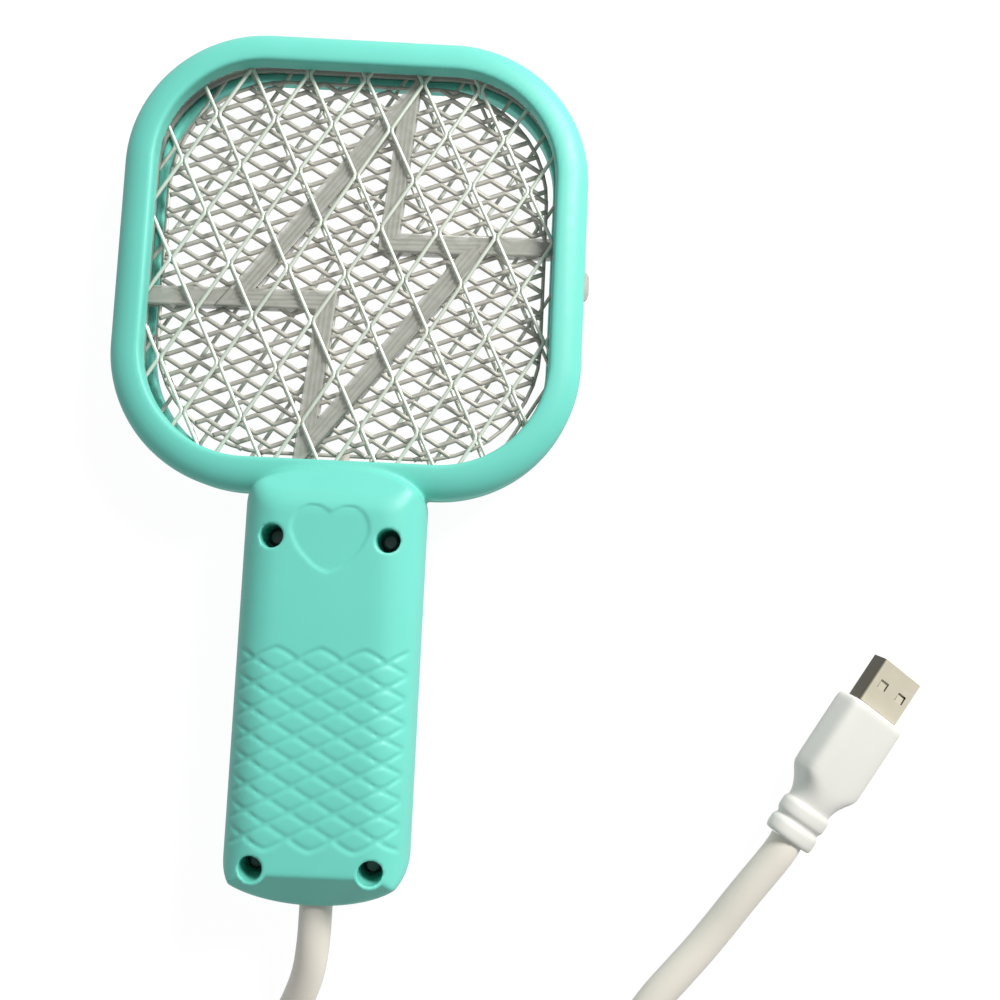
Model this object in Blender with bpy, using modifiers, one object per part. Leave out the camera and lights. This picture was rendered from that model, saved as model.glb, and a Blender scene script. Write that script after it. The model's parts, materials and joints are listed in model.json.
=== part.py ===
"""Electric fly swatter with a square head, a short handle and a captive USB charging lead.

Metres, +Z up. The swatter lies on its front face with the screw side up. +Y runs from the
handle to the head, and the origin is under the middle of the swatter without its lead.
"""
import math

import bmesh
import bpy
from mathutils import Matrix, Vector

MM = 0.001
GAP = 0.3 * MM  # clearance between neighbouring pieces

# Head and handle
TOTAL_LENGTH = 188 * MM
HEAD_SIDE = 102.4 * MM
HEAD_CORNER = 30.8 * MM
BAR_WIDTH = 7.3 * MM
RING_DEPTH = 13.4 * MM
RING_SHOULDER = (6.0 * MM, 4.2 * MM)  # how far in and down the ring's outer edge is rounded
RING_LIP = 0.6 * MM  # rounding of its inner edge
GROOVE_SIZE = (3.7 * MM, 7.8 * MM)  # the hollow inside the ring
HANDLE_WIDTH = 39 * MM
HANDLE_DEPTH = 25 * MM
SECTION_LAND = 8 * MM  # half width of the flat land along the handle's back and front
WALL = 2 * MM

MID_Z = HANDLE_DEPTH / 2
HALF_HEAD = HEAD_SIDE / 2
HEAD_Y = TOTAL_LENGTH / 2 - HALF_HEAD
RING_FOOT_Y = HEAD_Y - HALF_HEAD
END_Y = -TOTAL_LENGTH / 2
ARCH_TOP_Y = RING_FOOT_Y + 6.3 * MM  # where the handle's arch ends, over the ring's lower bar
ARCH_RISE = 9.4 * MM
END_DROP = 10.3 * MM  # length of the elliptical lower end
RAMP = (8.5 * MM, 5.5 * MM)  # length and drop of the slope towards the head
CHAMFER = 8.3 * MM  # slope at the lower end, 45 degrees

# Layers held in the ring, as heights above and below the parting plane
PLATE_HALF = HALF_HEAD - 2.1 * MM
PLATE_CORNER = HEAD_CORNER - 2.1 * MM
ELECTRODE_HALF = 42.6 * MM  # the charged mesh stays clear of the guards' edges, held by the bolt ribs
ELECTRODE_CORNER = 26 * MM
CONTACT_Y = HEAD_Y - PLATE_HALF - 3.2 * MM  # where the meshes' contact tabs end
CONTACT_X = 7 * MM  # the guards' tabs, to either side of the charged mesh's
EDGE_STRIP = 1.4 * MM  # solid edge of each mesh
LAYER_REACH = 2.75 * MM
MESH_THICKNESS = 0.3 * MM
SPACER_THICKNESS = 1.25 * MM
GUARD_CELL = (12.8 * MM, 22.5 * MM)
GUARD_STRAND = 1.0 * MM
GUARD_TURN = math.radians(-2.5)
REAR_GUARD_SHIFT = (5.1 * MM, -2.4 * MM)  # the guards' lattices, from the head's middle
FRONT_GUARD_SHIFT = (1.9 * MM, 2.6 * MM)
FINE_CELL = (16.8 * MM, 11.2 * MM)
FINE_STRAND = 1.1 * MM
FINE_TURN = math.radians(-5.2)
RIB_WIDTH = 4.2 * MM
FRAME_WIDTH = 4 * MM
SPACER_TAB = (7 * MM, 1.4 * MM)  # the clear tab's width and how far it stands out of the ring

# Half of the lightning-bolt outline from the bolt's own middle; the other half is turned by 180 degrees
BOLT_MIDDLE = (1.0 * MM, HEAD_Y - 1.1 * MM)
BOLT_HALF = [(9.5 * MM, 40.1 * MM), (-26.8 * MM, -7.2 * MM), (-6.4 * MM, -6.9 * MM)]

# Screws
SCREW_X = 12 * MM
SCREW_YS = (-18 * MM, -84.7 * MM)
RECESS_RADIUS = 2.5 * MM
COLLAR_RADIUS = 3.4 * MM
SCREW_SEAT_Z = 15.5 * MM
SHANK_RADIUS = 1.15 * MM
BOSS_RADIUS = 3.6 * MM

# Controls on the front face
BUTTON_Y = -26.5 * MM
BUTTON_RADIUS = 5.5 * MM
BUTTON_LOW_Z = 0.4 * MM
PAD_TOP_Z = 3.2 * MM
LED_Y = -39.5 * MM
SWITCH_Y = -53.5 * MM
KNOB_TRAVEL = 3 * MM

# Inside the handle
BOARD_Z = (9.6 * MM, 10.8 * MM)
CELL_RADIUS = 7 * MM
CELL_LENGTH = 43 * MM
CELL_AT = (-9.6 * MM, -56.5 * MM, MID_Z)
BOARD_POSTS = [(13 * MM, -28.5 * MM), (-13 * MM, -28.5 * MM), (12.5 * MM, -48.5 * MM), (11 * MM, -74.5 * MM)]
CRADLE_YS = (-43.5 * MM, -69.5 * MM)

# Cord
CORD_RADIUS = 3.6 * MM
CORD_START_Y = -80 * MM
COIL_CENTRE = (21 * MM, -169.5 * MM)
COIL_RADIUS = 39 * MM
COIL_LIFT = 1.2 * MM
COIL_SIDE = 14.4 * MM
TIE_WALL = 0.9 * MM
LEAD_ROUTE = [
    (0, CORD_START_Y, MID_Z), (0, -0.0885, MID_Z), (0, -0.0960, MID_Z), (-0.0002, -0.1025, 0.0119),
    (-0.0012, -0.1095, 0.0097), (-0.0036, -0.1165, 0.0068), (-0.0070, -0.1235, 0.0046), (-0.0108, -0.1301, 0.0038),
]
TAIL_ROUTE = [
    (0.0640, -0.1427, 0.0080), (0.0642, -0.1365, 0.0058), (0.0650, -0.1303, 0.0043), (0.0672, -0.1243, 0.0038),
    (0.0704, -0.1188, 0.0037), (0.0742, -0.1136, 0.0037), (0.0786, -0.1086, 0.0037), (0.0833, -0.1032, 0.0037),
    (0.0877, -0.0975, 0.0041), (0.0920, -0.0914, 0.0050),
]

# Plug, measured along its axis from the end of the strain relief
PLUG_END = Vector((0.1012, -0.0786, 0.0061))
PLUG_HEADING = math.radians(32.5)  # from +Y towards +X
PLUG_ROLL = math.radians(20)  # it rests on the lower edge of one side
RELIEF_LENGTH = 9.4 * MM
BODY_START = 15.2 * MM
BODY_END = 34 * MM
SHELL_LENGTH = 10.5 * MM
SHELL_SIZE = (12 * MM, 4.5 * MM)
SHELL_WALL = 0.3 * MM

ROUND_STEPS = 20
CORNER_STEPS = 6
SMOOTH_ANGLE = math.radians(35)


# ---------------------------------------------------------------- scene, materials and booleans

def clear_scene():
    for old in list(bpy.data.objects):
        bpy.data.objects.remove(old)


def collection(name):
    made = bpy.data.collections.new(name)
    bpy.context.scene.collection.children.link(made)
    return made


def material(name, color, roughness, metallic=0.0, alpha=1.0):
    made = bpy.data.materials.new(name)
    made.use_nodes = True
    shader = made.node_tree.nodes["Principled BSDF"]
    shader.inputs["Base Color"].default_value = (*color, 1)
    shader.inputs["Roughness"].default_value = roughness
    shader.inputs["Metallic"].default_value = metallic
    shader.inputs["Alpha"].default_value = alpha
    return made


def add_mesh(name, shape, turn_out=True):
    """Link a bmesh as a new object, with its faces turned outwards if asked."""
    if turn_out:
        bmesh.ops.recalc_face_normals(shape, faces=shape.faces)
    mesh = bpy.data.meshes.new(name)
    shape.to_mesh(mesh)
    shape.free()
    made = bpy.data.objects.new(name, mesh)
    PARTS.objects.link(made)
    return made


def as_mesh(source, turn_out=True, weld=1e-6):
    """Replace a curve, or an object with modifiers, by its evaluated mesh in world space."""
    bpy.context.view_layer.update()
    graph = bpy.context.evaluated_depsgraph_get()
    mesh = bpy.data.meshes.new_from_object(source.evaluated_get(graph))
    shape = bmesh.new()
    shape.from_mesh(mesh)
    bmesh.ops.remove_doubles(shape, verts=shape.verts, dist=weld)
    shape.transform(source.matrix_world)
    name = source.name
    bpy.data.objects.remove(source)
    return add_mesh(name, shape, turn_out)


def combine(target, tool, operation):
    """Join, cut or intersect target with tool, and remove the tool."""
    step = target.modifiers.new(operation.lower(), "BOOLEAN")
    step.operation = operation
    step.object = tool
    step.solver = "EXACT"
    made = as_mesh(target, turn_out=False)
    bpy.data.objects.remove(tool)
    return made


def join(target, *tools):
    for tool in tools:
        target = combine(target, tool, "UNION")
    return target


def cut(target, *tools):
    for tool in tools:
        target = combine(target, tool, "DIFFERENCE")
    return target


def finish(made, name, look, origin=None):
    """Name a finished piece, put its origin in its middle or where asked, and give it its material."""
    corners = [Vector(corner) for corner in made.bound_box]
    origin = Vector(origin) if origin else (corners[0] + corners[6]) / 2
    made.data.transform(Matrix.Translation(-origin))
    made.location = origin
    made.name = name
    made.data.name = name
    made.data.materials.clear()
    made.data.materials.append(look)
    made.data.shade_smooth()
    made.data.set_sharp_from_angle(angle=SMOOTH_ANGLE)
    return made


# ---------------------------------------------------------------- outlines

def rounded_square(half, radius, steps=CORNER_STEPS):
    """Corner arcs of a square around the head's middle, counter-clockwise from the right."""
    points = []
    for corner in range(4):
        for step in range(steps + 1):
            turn = math.radians(90) * (corner + step / steps)
            side = math.radians(90) * corner + math.radians(45)
            reach = math.sqrt(2) * (half - radius)
            x = reach * math.cos(side) + radius * math.cos(turn)
            y = reach * math.sin(side) + radius * math.sin(turn)
            points.append((x, HEAD_Y + y))
    return points


def rounded_box(width, height, radius, steps=3):
    points = []
    for corner, (sx, sy) in enumerate(((1, 1), (-1, 1), (-1, -1), (1, -1))):
        for step in range(steps + 1):
            turn = math.radians(90) * (corner + step / steps)
            points.append((
                sx * (width / 2 - radius) + radius * math.cos(turn),
                sy * (height / 2 - radius) + radius * math.sin(turn),
            ))
    return points


def handle_plan(inset):
    """Seen from the back: straight sides between two half ellipses."""
    half = HANDLE_WIDTH / 2 - inset
    arch_y = ARCH_TOP_Y - ARCH_RISE
    end_y = END_Y + END_DROP
    points = []
    for step in range(13):
        turn = math.pi * step / 12
        points.append((half * math.cos(turn), arch_y + (ARCH_RISE - inset) * math.sin(turn)))
    for step in range(13):
        turn = math.pi * (1 + step / 12)
        points.append((half * math.cos(turn), end_y + (END_DROP - inset) * math.sin(turn)))
    return points


def handle_side(inset):
    """Seen from the side, as (y, z): a ramp towards the head and a chamfer at the end."""
    half = HANDLE_DEPTH / 2 - inset
    ramp_run, ramp_drop = RAMP
    # each slope moves in by more than the inset, because it is slanted
    ramp_shift = inset * (math.hypot(ramp_run, ramp_drop) - ramp_run) / ramp_drop
    chamfer_shift = inset * math.tan(math.radians(22.5))
    top_y = ARCH_TOP_Y - ramp_run - ramp_shift
    low_y = END_Y + CHAMFER + chamfer_shift
    far_y = ARCH_TOP_Y + 4 * MM
    far_half = half - ramp_drop * (far_y - top_y) / ramp_run
    upper = [(far_y, far_half), (top_y, half), (low_y, half), (END_Y + inset, half - (low_y - END_Y - inset))]
    lower = [(y, -z) for y, z in reversed(upper)]
    return [(y, MID_Z + z) for y, z in upper + lower]


def handle_section(inset, steps=7):
    """Across the handle, as (x, z): a flat land, then a soft curve down to the parting plane."""
    power = 2.6
    land = SECTION_LAND - inset / 2
    reach = HANDLE_WIDTH / 2 - inset - land
    half = HANDLE_DEPTH / 2 - inset
    quarter = []
    for step in range(steps + 1):
        turn = math.radians(90) * step / steps
        quarter.append((land + reach * math.cos(turn) ** (2 / power), half * math.sin(turn) ** (2 / power)))
    points = quarter + [(-x, z) for x, z in reversed(quarter)]
    points += [(-x, -z) for x, z in quarter[1:]] + [(x, -z) for x, z in reversed(quarter[1:])]
    return [(x, MID_Z + z) for x, z in points]


# ---------------------------------------------------------------- basic solids

XY = Matrix.Identity(4)
YZ = Matrix(((0, 0, 1, 0), (1, 0, 0, 0), (0, 1, 0, 0), (0, 0, 0, 1)))
XZ = Matrix(((1, 0, 0, 0), (0, 0, -1, 0), (0, 1, 0, 0), (0, 0, 0, 1)))


def plate(name, loops, low, high, plane=XY):
    """A flat outline, with any inner loops as holes, between two heights along the plane's normal."""
    curve = bpy.data.curves.new(name, "CURVE")
    curve.dimensions = "2D"
    curve.fill_mode = "BOTH"
    curve.extrude = (high - low) / 2
    for loop in loops:
        spline = curve.splines.new("POLY")
        spline.points.add(len(loop) - 1)
        for point, (x, y) in zip(spline.points, loop):
            point.co = (x, y, 0, 1)
        spline.use_cyclic_u = True
    made = bpy.data.objects.new(name, curve)
    PARTS.objects.link(made)
    made.matrix_world = plane @ Matrix.Translation((0, 0, (low + high) / 2))
    return as_mesh(made)


def box(name, low, high):
    shape = bmesh.new()
    bmesh.ops.create_cube(shape, size=1)
    size = [b - a for a, b in zip(low, high)]
    middle = [(a + b) / 2 for a, b in zip(low, high)]
    bmesh.ops.transform(shape, matrix=Matrix.Translation(middle) @ Matrix.Diagonal((*size, 1)), verts=shape.verts)
    return add_mesh(name, shape)


def cylinder(name, radius, low, high, at=(0, 0), axis=XY, steps=ROUND_STEPS, top_radius=None):
    shape = bmesh.new()
    bmesh.ops.create_cone(
        shape, cap_ends=True, segments=steps, radius1=radius,
        radius2=radius if top_radius is None else top_radius, depth=high - low,
    )
    shape.transform(axis @ Matrix.Translation((*at, (low + high) / 2)))
    return add_mesh(name, shape)


def turned(name, profile, place, steps=ROUND_STEPS):
    """Turn a profile of (radius, height), from top to bottom, about the Z axis, then place it."""
    mesh = bpy.data.meshes.new(name)
    points = [(radius, 0, height) for radius, height in profile]
    closed = profile[0][0] > 0
    edges = [(i, i + 1) for i in range(len(points) - 1)]
    if closed:
        edges.append((len(points) - 1, 0))
    mesh.from_pydata(points, edges, [])
    made = bpy.data.objects.new(name, mesh)
    PARTS.objects.link(made)
    spin = made.modifiers.new("turn", "SCREW")
    spin.steps = steps
    spin.render_steps = steps
    spin.use_merge_vertices = True
    spin.merge_threshold = 0.00001
    made.matrix_world = place
    return as_mesh(made)


def sweep(name, path, section, height):
    """A closed frame: a section of (across, up) carried round a level closed path."""
    rail = bpy.data.curves.new(name, "CURVE")
    rail.dimensions = "2D"
    rail.fill_mode = "NONE"
    spline = rail.splines.new("POLY")
    spline.points.add(len(path) - 1)
    for point, (x, y) in zip(spline.points, path):
        point.co = (x, y, 0, 1)
    spline.use_cyclic_u = True
    profile = bpy.data.curves.new(name + "_section", "CURVE")
    profile.dimensions = "2D"
    profile.fill_mode = "NONE"
    outline = profile.splines.new("POLY")
    outline.points.add(len(section) - 1)
    for point, (x, y) in zip(outline.points, section):
        point.co = (x, y, 0, 1)
    outline.use_cyclic_u = True
    guide = bpy.data.objects.new(name + "_section", profile)
    CUTTERS.objects.link(guide)
    rail.bevel_mode = "OBJECT"
    rail.bevel_object = guide
    made = bpy.data.objects.new(name, rail)
    PARTS.objects.link(made)
    made.location.z = height
    made = as_mesh(made)
    bpy.data.objects.remove(guide)
    return made


def smooth_points(route, step):
    """Points about one step apart on a Catmull-Rom curve through the route's own points."""
    knots = [Vector(point) for point in route]
    knots = [2 * knots[0] - knots[1]] + knots + [2 * knots[-1] - knots[-2]]
    points = []
    for a, b, c, d in zip(knots, knots[1:], knots[2:], knots[3:]):
        parts = max(1, round((c - b).length / step))
        for part in range(parts):
            t = part / parts
            points.append(0.5 * (
                2 * b + (c - a) * t + (2 * a - 5 * b + 4 * c - d) * t * t + (3 * b - 3 * c + d - a) * t ** 3
            ))
    points.append(knots[-2])
    return points


def tube(name, route, radius, look, step=None):
    curve = bpy.data.curves.new(name, "CURVE")
    curve.dimensions = "3D"
    curve.bevel_depth = radius
    curve.bevel_resolution = 2
    curve.use_fill_caps = True
    points = smooth_points(route, step or 2.5 * radius)
    spline = curve.splines.new("POLY")
    spline.points.add(len(points) - 1)
    for point, place in zip(spline.points, points):
        point.co = (*place, 1)
    made = bpy.data.objects.new(name, curve)
    PARTS.objects.link(made)
    return finish(as_mesh(made), name, look)


def loft(name, stations, steps=ROUND_STEPS):
    """Join super-ellipse sections (along, half width, half height, power) into one closed body."""
    shape = bmesh.new()
    rings = []
    for along, wide, high, power in stations:
        ring = []
        for step in range(steps):
            turn = math.tau * (step + 0.5) / steps
            c, s = math.cos(turn), math.sin(turn)
            x = wide * math.copysign(abs(c) ** (2 / power), c)
            z = high * math.copysign(abs(s) ** (2 / power), s)
            ring.append(shape.verts.new((x, along, z)))
        rings.append(ring)
    for near, far in zip(rings, rings[1:]):
        for step in range(steps):
            after = (step + 1) % steps
            shape.faces.new((near[step], near[after], far[after], far[step]))
    shape.faces.new(rings[0])
    shape.faces.new(rings[-1])
    return add_mesh(name, shape)


# ---------------------------------------------------------------- covers

def handle_body(inset):
    reach = TOTAL_LENGTH
    body = plate("body", [handle_plan(inset)], -reach, reach)
    side = plate("side", [handle_side(inset)], -reach, reach, YZ)
    section = plate("section", [handle_section(inset)], -reach, reach, XZ)
    return combine(combine(body, side, "INTERSECT"), section, "INTERSECT")


def ring_section(steps=5):
    """Across the ring's bar, as (outwards, up): a long soft shoulder outside and a small lip inside."""
    half, top = BAR_WIDTH / 2, RING_DEPTH / 2
    reach, drop = RING_SHOULDER
    upper = []
    for step in range(steps + 1):
        turn = math.radians(90) * step / steps
        upper.append((half - reach + reach * math.cos(turn), top - drop + drop * math.sin(turn)))
    upper += [(RING_LIP - half, top), (-half, top - RING_LIP)]
    return upper + [(across, -up) for across, up in reversed(upper)]


def ring_body(section):
    path = rounded_square(HALF_HEAD - BAR_WIDTH / 2, HEAD_CORNER - BAR_WIDTH / 2)
    return sweep("ring", path, section, MID_Z)


def outer_body():
    return join(handle_body(0), ring_body(ring_section()))


def screw_places():
    return [(side * SCREW_X, y) for y in SCREW_YS for side in (-1, 1)]


def hollowed(body):
    """Take out the handle's cavity, the ring's groove and the pocket that holds the layers."""
    groove = ring_body(rounded_box(*GROOVE_SIZE, 0.6 * MM))
    pocket_half = PLATE_HALF + GAP
    pocket = plate(
        "pocket", [rounded_square(pocket_half, PLATE_CORNER + GAP)], MID_Z - LAYER_REACH, MID_Z + LAYER_REACH)
    return cut(body, groove, handle_body(WALL), pocket)


def half_space(side):
    """The space above (1) or below (-1) the parting plane, less half of the parting gap."""
    low, high = sorted((side * GAP / 2, side * TOTAL_LENGTH))
    reach = TOTAL_LENGTH
    return box("half", (-reach, -reach, MID_Z + low), (reach, reach, MID_Z + high))


def cord_hole():
    return cylinder("hole", CORD_RADIUS + GAP, 86.5 * MM, 98.5 * MM, (0, MID_Z), XZ)


def screw_collars():
    """Rims of the two lower screw recesses, which stand out of the end's slope up to the back face."""
    collars = []
    for x, y in screw_places()[2:]:
        collar = cylinder("collar", COLLAR_RADIUS, MID_Z + 2 * MM, HANDLE_DEPTH + MM, (x, y))
        fence = plate("fence", [handle_section(0.05 * MM)], -TOTAL_LENGTH, TOTAL_LENGTH, XZ)
        collars.append(combine(collar, fence, "INTERSECT"))
    return collars


def rear_cover():
    cover = hollowed(outer_body())
    for place in screw_places():
        cover = join(cover, cylinder("boss", BOSS_RADIUS, MID_Z - MM, HANDLE_DEPTH, place))
    cover = combine(cover, outer_body(), "INTERSECT")
    cover = combine(cover, half_space(1), "INTERSECT")
    cover = join(cover, *screw_collars())
    for place in screw_places():
        cover = cut(
            cover, cylinder("recess", RECESS_RADIUS, SCREW_SEAT_Z, HANDLE_DEPTH + MM, place),
            cylinder("clearance", SHANK_RADIUS + GAP, 0, SCREW_SEAT_Z + MM, place),
        )
    tab_half = SPACER_TAB[0] / 2 + GAP
    notch = box(
        "notch", (PLATE_HALF - MM, tab_middle_y() - tab_half, MID_Z - MM),
        (HALF_HEAD + MM, tab_middle_y() + tab_half, MID_Z + LAYER_REACH - GAP))
    return finish(cut(cover, notch, cord_hole()), "rear_cover", MINT)


def front_cover():
    cover = hollowed(outer_body())
    supports = [cylinder("boss", BOSS_RADIUS, 0, MID_Z + MM, place) for place in screw_places()]
    supports.append(cylinder("pad", BUTTON_RADIUS + 3.3 * MM, 0.2 * MM, PAD_TOP_Z, (0, BUTTON_Y)))
    supports.append(box("pad", (-5.6 * MM, SWITCH_Y - 8.6 * MM, 0.2 * MM), (5.6 * MM, SWITCH_Y + 8.6 * MM, PAD_TOP_Z)))
    for x, y in BOARD_POSTS:
        supports.append(cylinder("post", 1.6 * MM, MM, BOARD_Z[0] - GAP, (x, y), steps=12))
    for y in CRADLE_YS:
        supports.append(box("cradle", (-18 * MM, y, MM), (-7 * MM, y + 2 * MM, 9 * MM)))
    cover = join(cover, *supports)
    cover = combine(cover, outer_body(), "INTERSECT")
    cover = combine(cover, half_space(-1), "INTERSECT")
    for place in screw_places():
        cover = cut(cover, cylinder("pilot", SHANK_RADIUS + GAP, 4.5 * MM, MID_Z + MM, place))
    low = -MM
    recess = plate("recess", [shifted(rounded_box(9 * MM, 15 * MM, 3 * MM), SWITCH_Y)], low, 1.3 * MM)
    slot = plate("slot", [shifted(rounded_box(4.4 * MM, 8.4 * MM, 1 * MM), SWITCH_Y)], low, 5 * MM)
    cover = cut(
        cover, recess, slot, cord_hole(),
        cylinder("dish", BUTTON_RADIUS + 3.4 * MM, low, 1.2 * MM, (0, BUTTON_Y), top_radius=BUTTON_RADIUS + 1.8 * MM),
        cylinder("opening", BUTTON_RADIUS + GAP, low, 5 * MM, (0, BUTTON_Y)),
        cylinder("led_hole", 1.8 * MM, low, 3 * MM, (0, LED_Y), steps=16),
        cylinder("cell_space", CELL_RADIUS + GAP, 32.5 * MM, 80.5 * MM, (CELL_AT[0], CELL_AT[2]), XZ, steps=24),
    )
    return finish(cover, "front_cover", MINT)


def shifted(loop, y):
    return [(px, py + y) for px, py in loop]


def case_screws():
    """Pan head, shank and blunt point of four self-tapping screws."""
    seat = SCREW_SEAT_Z + GAP
    profile = [
        (0, seat + 1.7 * MM), (1.3 * MM, seat + 1.6 * MM), (2.0 * MM, seat + 1.1 * MM), (2.15 * MM, seat + 0.5 * MM),
        (2.15 * MM, seat), (SHANK_RADIUS, seat), (SHANK_RADIUS, 6.5 * MM), (0.4 * MM, 5 * MM), (0, 5 * MM),
    ]
    for number, (x, y) in enumerate(screw_places(), 1):
        screw = turned("screw", profile, Matrix.Translation((x, y, 0)), 16)
        finish(screw, f"case_screw_{number}", STEEL)


# ---------------------------------------------------------------- head layers

def tab_middle_y():
    return RING_FOOT_Y + 49.1 * MM


def plate_outline(half, corner, tab_x, tab_width=3 * MM):
    """A rounded square with a contact tab that hangs down into the handle."""
    low = HEAD_Y - half
    points = rounded_square(half, corner)
    before = [p for p in points if not (p[1] < HEAD_Y and p[0] > 0)]
    after = [p for p in points if p[1] < HEAD_Y and p[0] > 0]
    tab = [(tab_x - tab_width / 2, low), (tab_x - tab_width / 2, CONTACT_Y),
           (tab_x + tab_width / 2, CONTACT_Y), (tab_x + tab_width / 2, low)]
    return before + tab + after


def clipped(loop, fence):
    """The part of a convex loop inside a convex counter-clockwise fence."""
    for a, b in zip(fence, fence[1:] + fence[:1]):
        def side(p):
            return (b[0] - a[0]) * (p[1] - a[1]) - (b[1] - a[1]) * (p[0] - a[0])
        kept = []
        for p, q in zip(loop, loop[1:] + loop[:1]):
            sp, sq = side(p), side(q)
            if sp >= 0:
                kept.append(p)
            if sp * sq < 0:
                t = sp / (sp - sq)
                kept.append((p[0] + t * (q[0] - p[0]), p[1] + t * (q[1] - p[1])))
        loop = kept
        if not loop:
            return []
    return loop


def area(loop):
    return abs(sum(p[0] * q[1] - q[0] * p[1] for p, q in zip(loop, loop[1:] + loop[:1]))) / 2


def diamond_holes(cell, strand, turn, fence, shift):
    """Diamonds of a slightly turned lattice, shrunk by the strand and clipped to the fence."""
    wide, high = cell
    shrink = 1 - strand * math.hypot(wide, high) / (wide * high)
    least = 0.12 * wide * high / 2
    count = math.ceil(HEAD_SIDE / min(wide, high)) + 2
    holes = []
    for row in range(-2 * count, 2 * count + 1):
        for column in range(-count, count + 1):
            cx = (column + (row % 2) / 2) * wide + shift[0]
            cy = row * high / 2 + shift[1]
            corners = [(cx + shrink * wide / 2, cy), (cx, cy + shrink * high / 2),
                       (cx - shrink * wide / 2, cy), (cx, cy - shrink * high / 2)]
            c, s = math.cos(turn), math.sin(turn)
            loop = clipped([(c * x - s * y, HEAD_Y + s * x + c * y) for x, y in corners], fence)
            if len(loop) > 2 and area(loop) > least:
                holes.append(loop)
    return holes


def mesh_plate(name, size, lattice, middle, tab_x, look):
    """size is half the side and the corner radius; lattice is the diamonds' cell, strand, turn and shift."""
    half, corner = size
    cell, strand, turn, shift = lattice
    fence = rounded_square(half - EDGE_STRIP, corner - EDGE_STRIP, 6)
    loops = [plate_outline(half, corner, tab_x)] + diamond_holes(cell, strand, turn, fence, shift)
    low = middle - MESH_THICKNESS / 2
    finish(plate(name, loops, low, low + MESH_THICKNESS), name, look)


def offset_loop(loop, distance):
    """Move a closed loop's edges sideways, to the left of its direction, with mitred corners."""
    points = [Vector(p) for p in loop]
    moved = []
    for before, at, after in zip(points[-1:] + points[:-1], points, points[1:] + points[:1]):
        into, out = (at - before).normalized(), (after - at).normalized()
        normal = Vector((-into.y - out.y, into.x + out.x)).normalized()
        moved.append(tuple(at + normal * distance / (normal.x * -out.y + normal.y * out.x)))
    return moved


def spacer(name, low, high, with_tab):
    """The clear frame with its lightning-bolt ribs and two arms."""
    half, corner = PLATE_HALF, PLATE_CORNER
    inner = rounded_square(half - FRAME_WIDTH, corner - FRAME_WIDTH)
    frame = plate(name, [rounded_square(half, corner), inner], low, high)
    middle = Vector(BOLT_MIDDLE)
    bolt = [tuple(middle + side * Vector(corner)) for side in (1, -1) for corner in BOLT_HALF]
    thin = 0.06 * MM
    loops = [offset_loop(bolt, -RIB_WIDTH / 2), offset_loop(bolt, RIB_WIDTH / 2)]
    fence = plate("fence", [rounded_square(half - FRAME_WIDTH / 2, corner - FRAME_WIDTH / 2)], 0, HANDLE_DEPTH)
    frame = join(frame, combine(plate("bolt", loops, low + thin, high - thin), fence, "INTERSECT"))
    for side in (1, -1):
        inner_end = middle + side * Vector(BOLT_HALF[1])
        run = (inner_end - middle - side * Vector(BOLT_HALF[2])).normalized()
        across = Vector((-run.y, run.x)) * (RIB_WIDTH / 2 - thin)
        outer_end = inner_end + run * (half - FRAME_WIDTH / 2 - abs(inner_end.x)) / abs(run.x)
        loop = [inner_end + across, inner_end - across, outer_end - across, outer_end + across]
        arm = clipped([tuple(p) for p in loop], rounded_square(half - FRAME_WIDTH / 2, corner - FRAME_WIDTH / 2))
        frame = join(frame, plate("arm", [arm], low + 2 * thin, high - 2 * thin))
    if with_tab:
        tab_half = SPACER_TAB[0] / 2
        frame = join(frame, box(
            "tab", (half - MM, tab_middle_y() - tab_half, low + thin),
            (HALF_HEAD + SPACER_TAB[1], tab_middle_y() + tab_half, high - thin)))
    finish(frame, name, CLEAR)


def head_layers():
    guard_rise = LAYER_REACH - GAP - MESH_THICKNESS / 2
    spacer_low = MESH_THICKNESS / 2 + GAP + 0.05 * MM
    spacer_high = spacer_low + SPACER_THICKNESS
    guard = (GUARD_CELL, GUARD_STRAND, GUARD_TURN)
    size = (PLATE_HALF, PLATE_CORNER)
    mesh_plate("rear_guard_mesh", size, (*guard, REAR_GUARD_SHIFT), MID_Z + guard_rise, -CONTACT_X, GUARD)
    mesh_plate("front_guard_mesh", size, (*guard, FRONT_GUARD_SHIFT), MID_Z - guard_rise, CONTACT_X, GUARD)
    fine = (FINE_CELL, FINE_STRAND, FINE_TURN, (0, 0))
    mesh_plate("high_voltage_mesh", (ELECTRODE_HALF, ELECTRODE_CORNER), fine, MID_Z, 0, WIRE_GREY)
    spacer("rear_spacer", MID_Z + spacer_low, MID_Z + spacer_high, True)
    spacer("front_spacer", MID_Z - spacer_high, MID_Z - spacer_low, False)


# ---------------------------------------------------------------- controls

def push_button():
    low = BUTTON_LOW_Z
    r = BUTTON_RADIUS
    profile = [(0, 4.2 * MM), (r + 1.5 * MM, 4.2 * MM), (r + 1.5 * MM, 3.5 * MM), (r, 3.5 * MM),
               (r, low + 0.7 * MM), (r - 0.8 * MM, low), (0, low)]
    place = Vector((0, BUTTON_Y, 0))
    finish(turned("button", profile, Matrix.Translation(place), 28), "push_button", WHITE, place)


def tact_switch():
    body = box("tact", (-3 * MM, BUTTON_Y - 3 * MM, 6 * MM), (3 * MM, BUTTON_Y + 3 * MM, BOARD_Z[0] - GAP))
    body = cut(body, cylinder("well", 1.9 * MM, 5 * MM, 7.7 * MM, (0, BUTTON_Y), steps=16))
    finish(body, "tact_switch_body", BLACK)
    plunger = cylinder("plunger", 1.6 * MM, 4.9 * MM, 6.9 * MM, (0, BUTTON_Y), steps=16)
    finish(plunger, "tact_switch_plunger", WHITE, (0, BUTTON_Y, 4.9 * MM))


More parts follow.
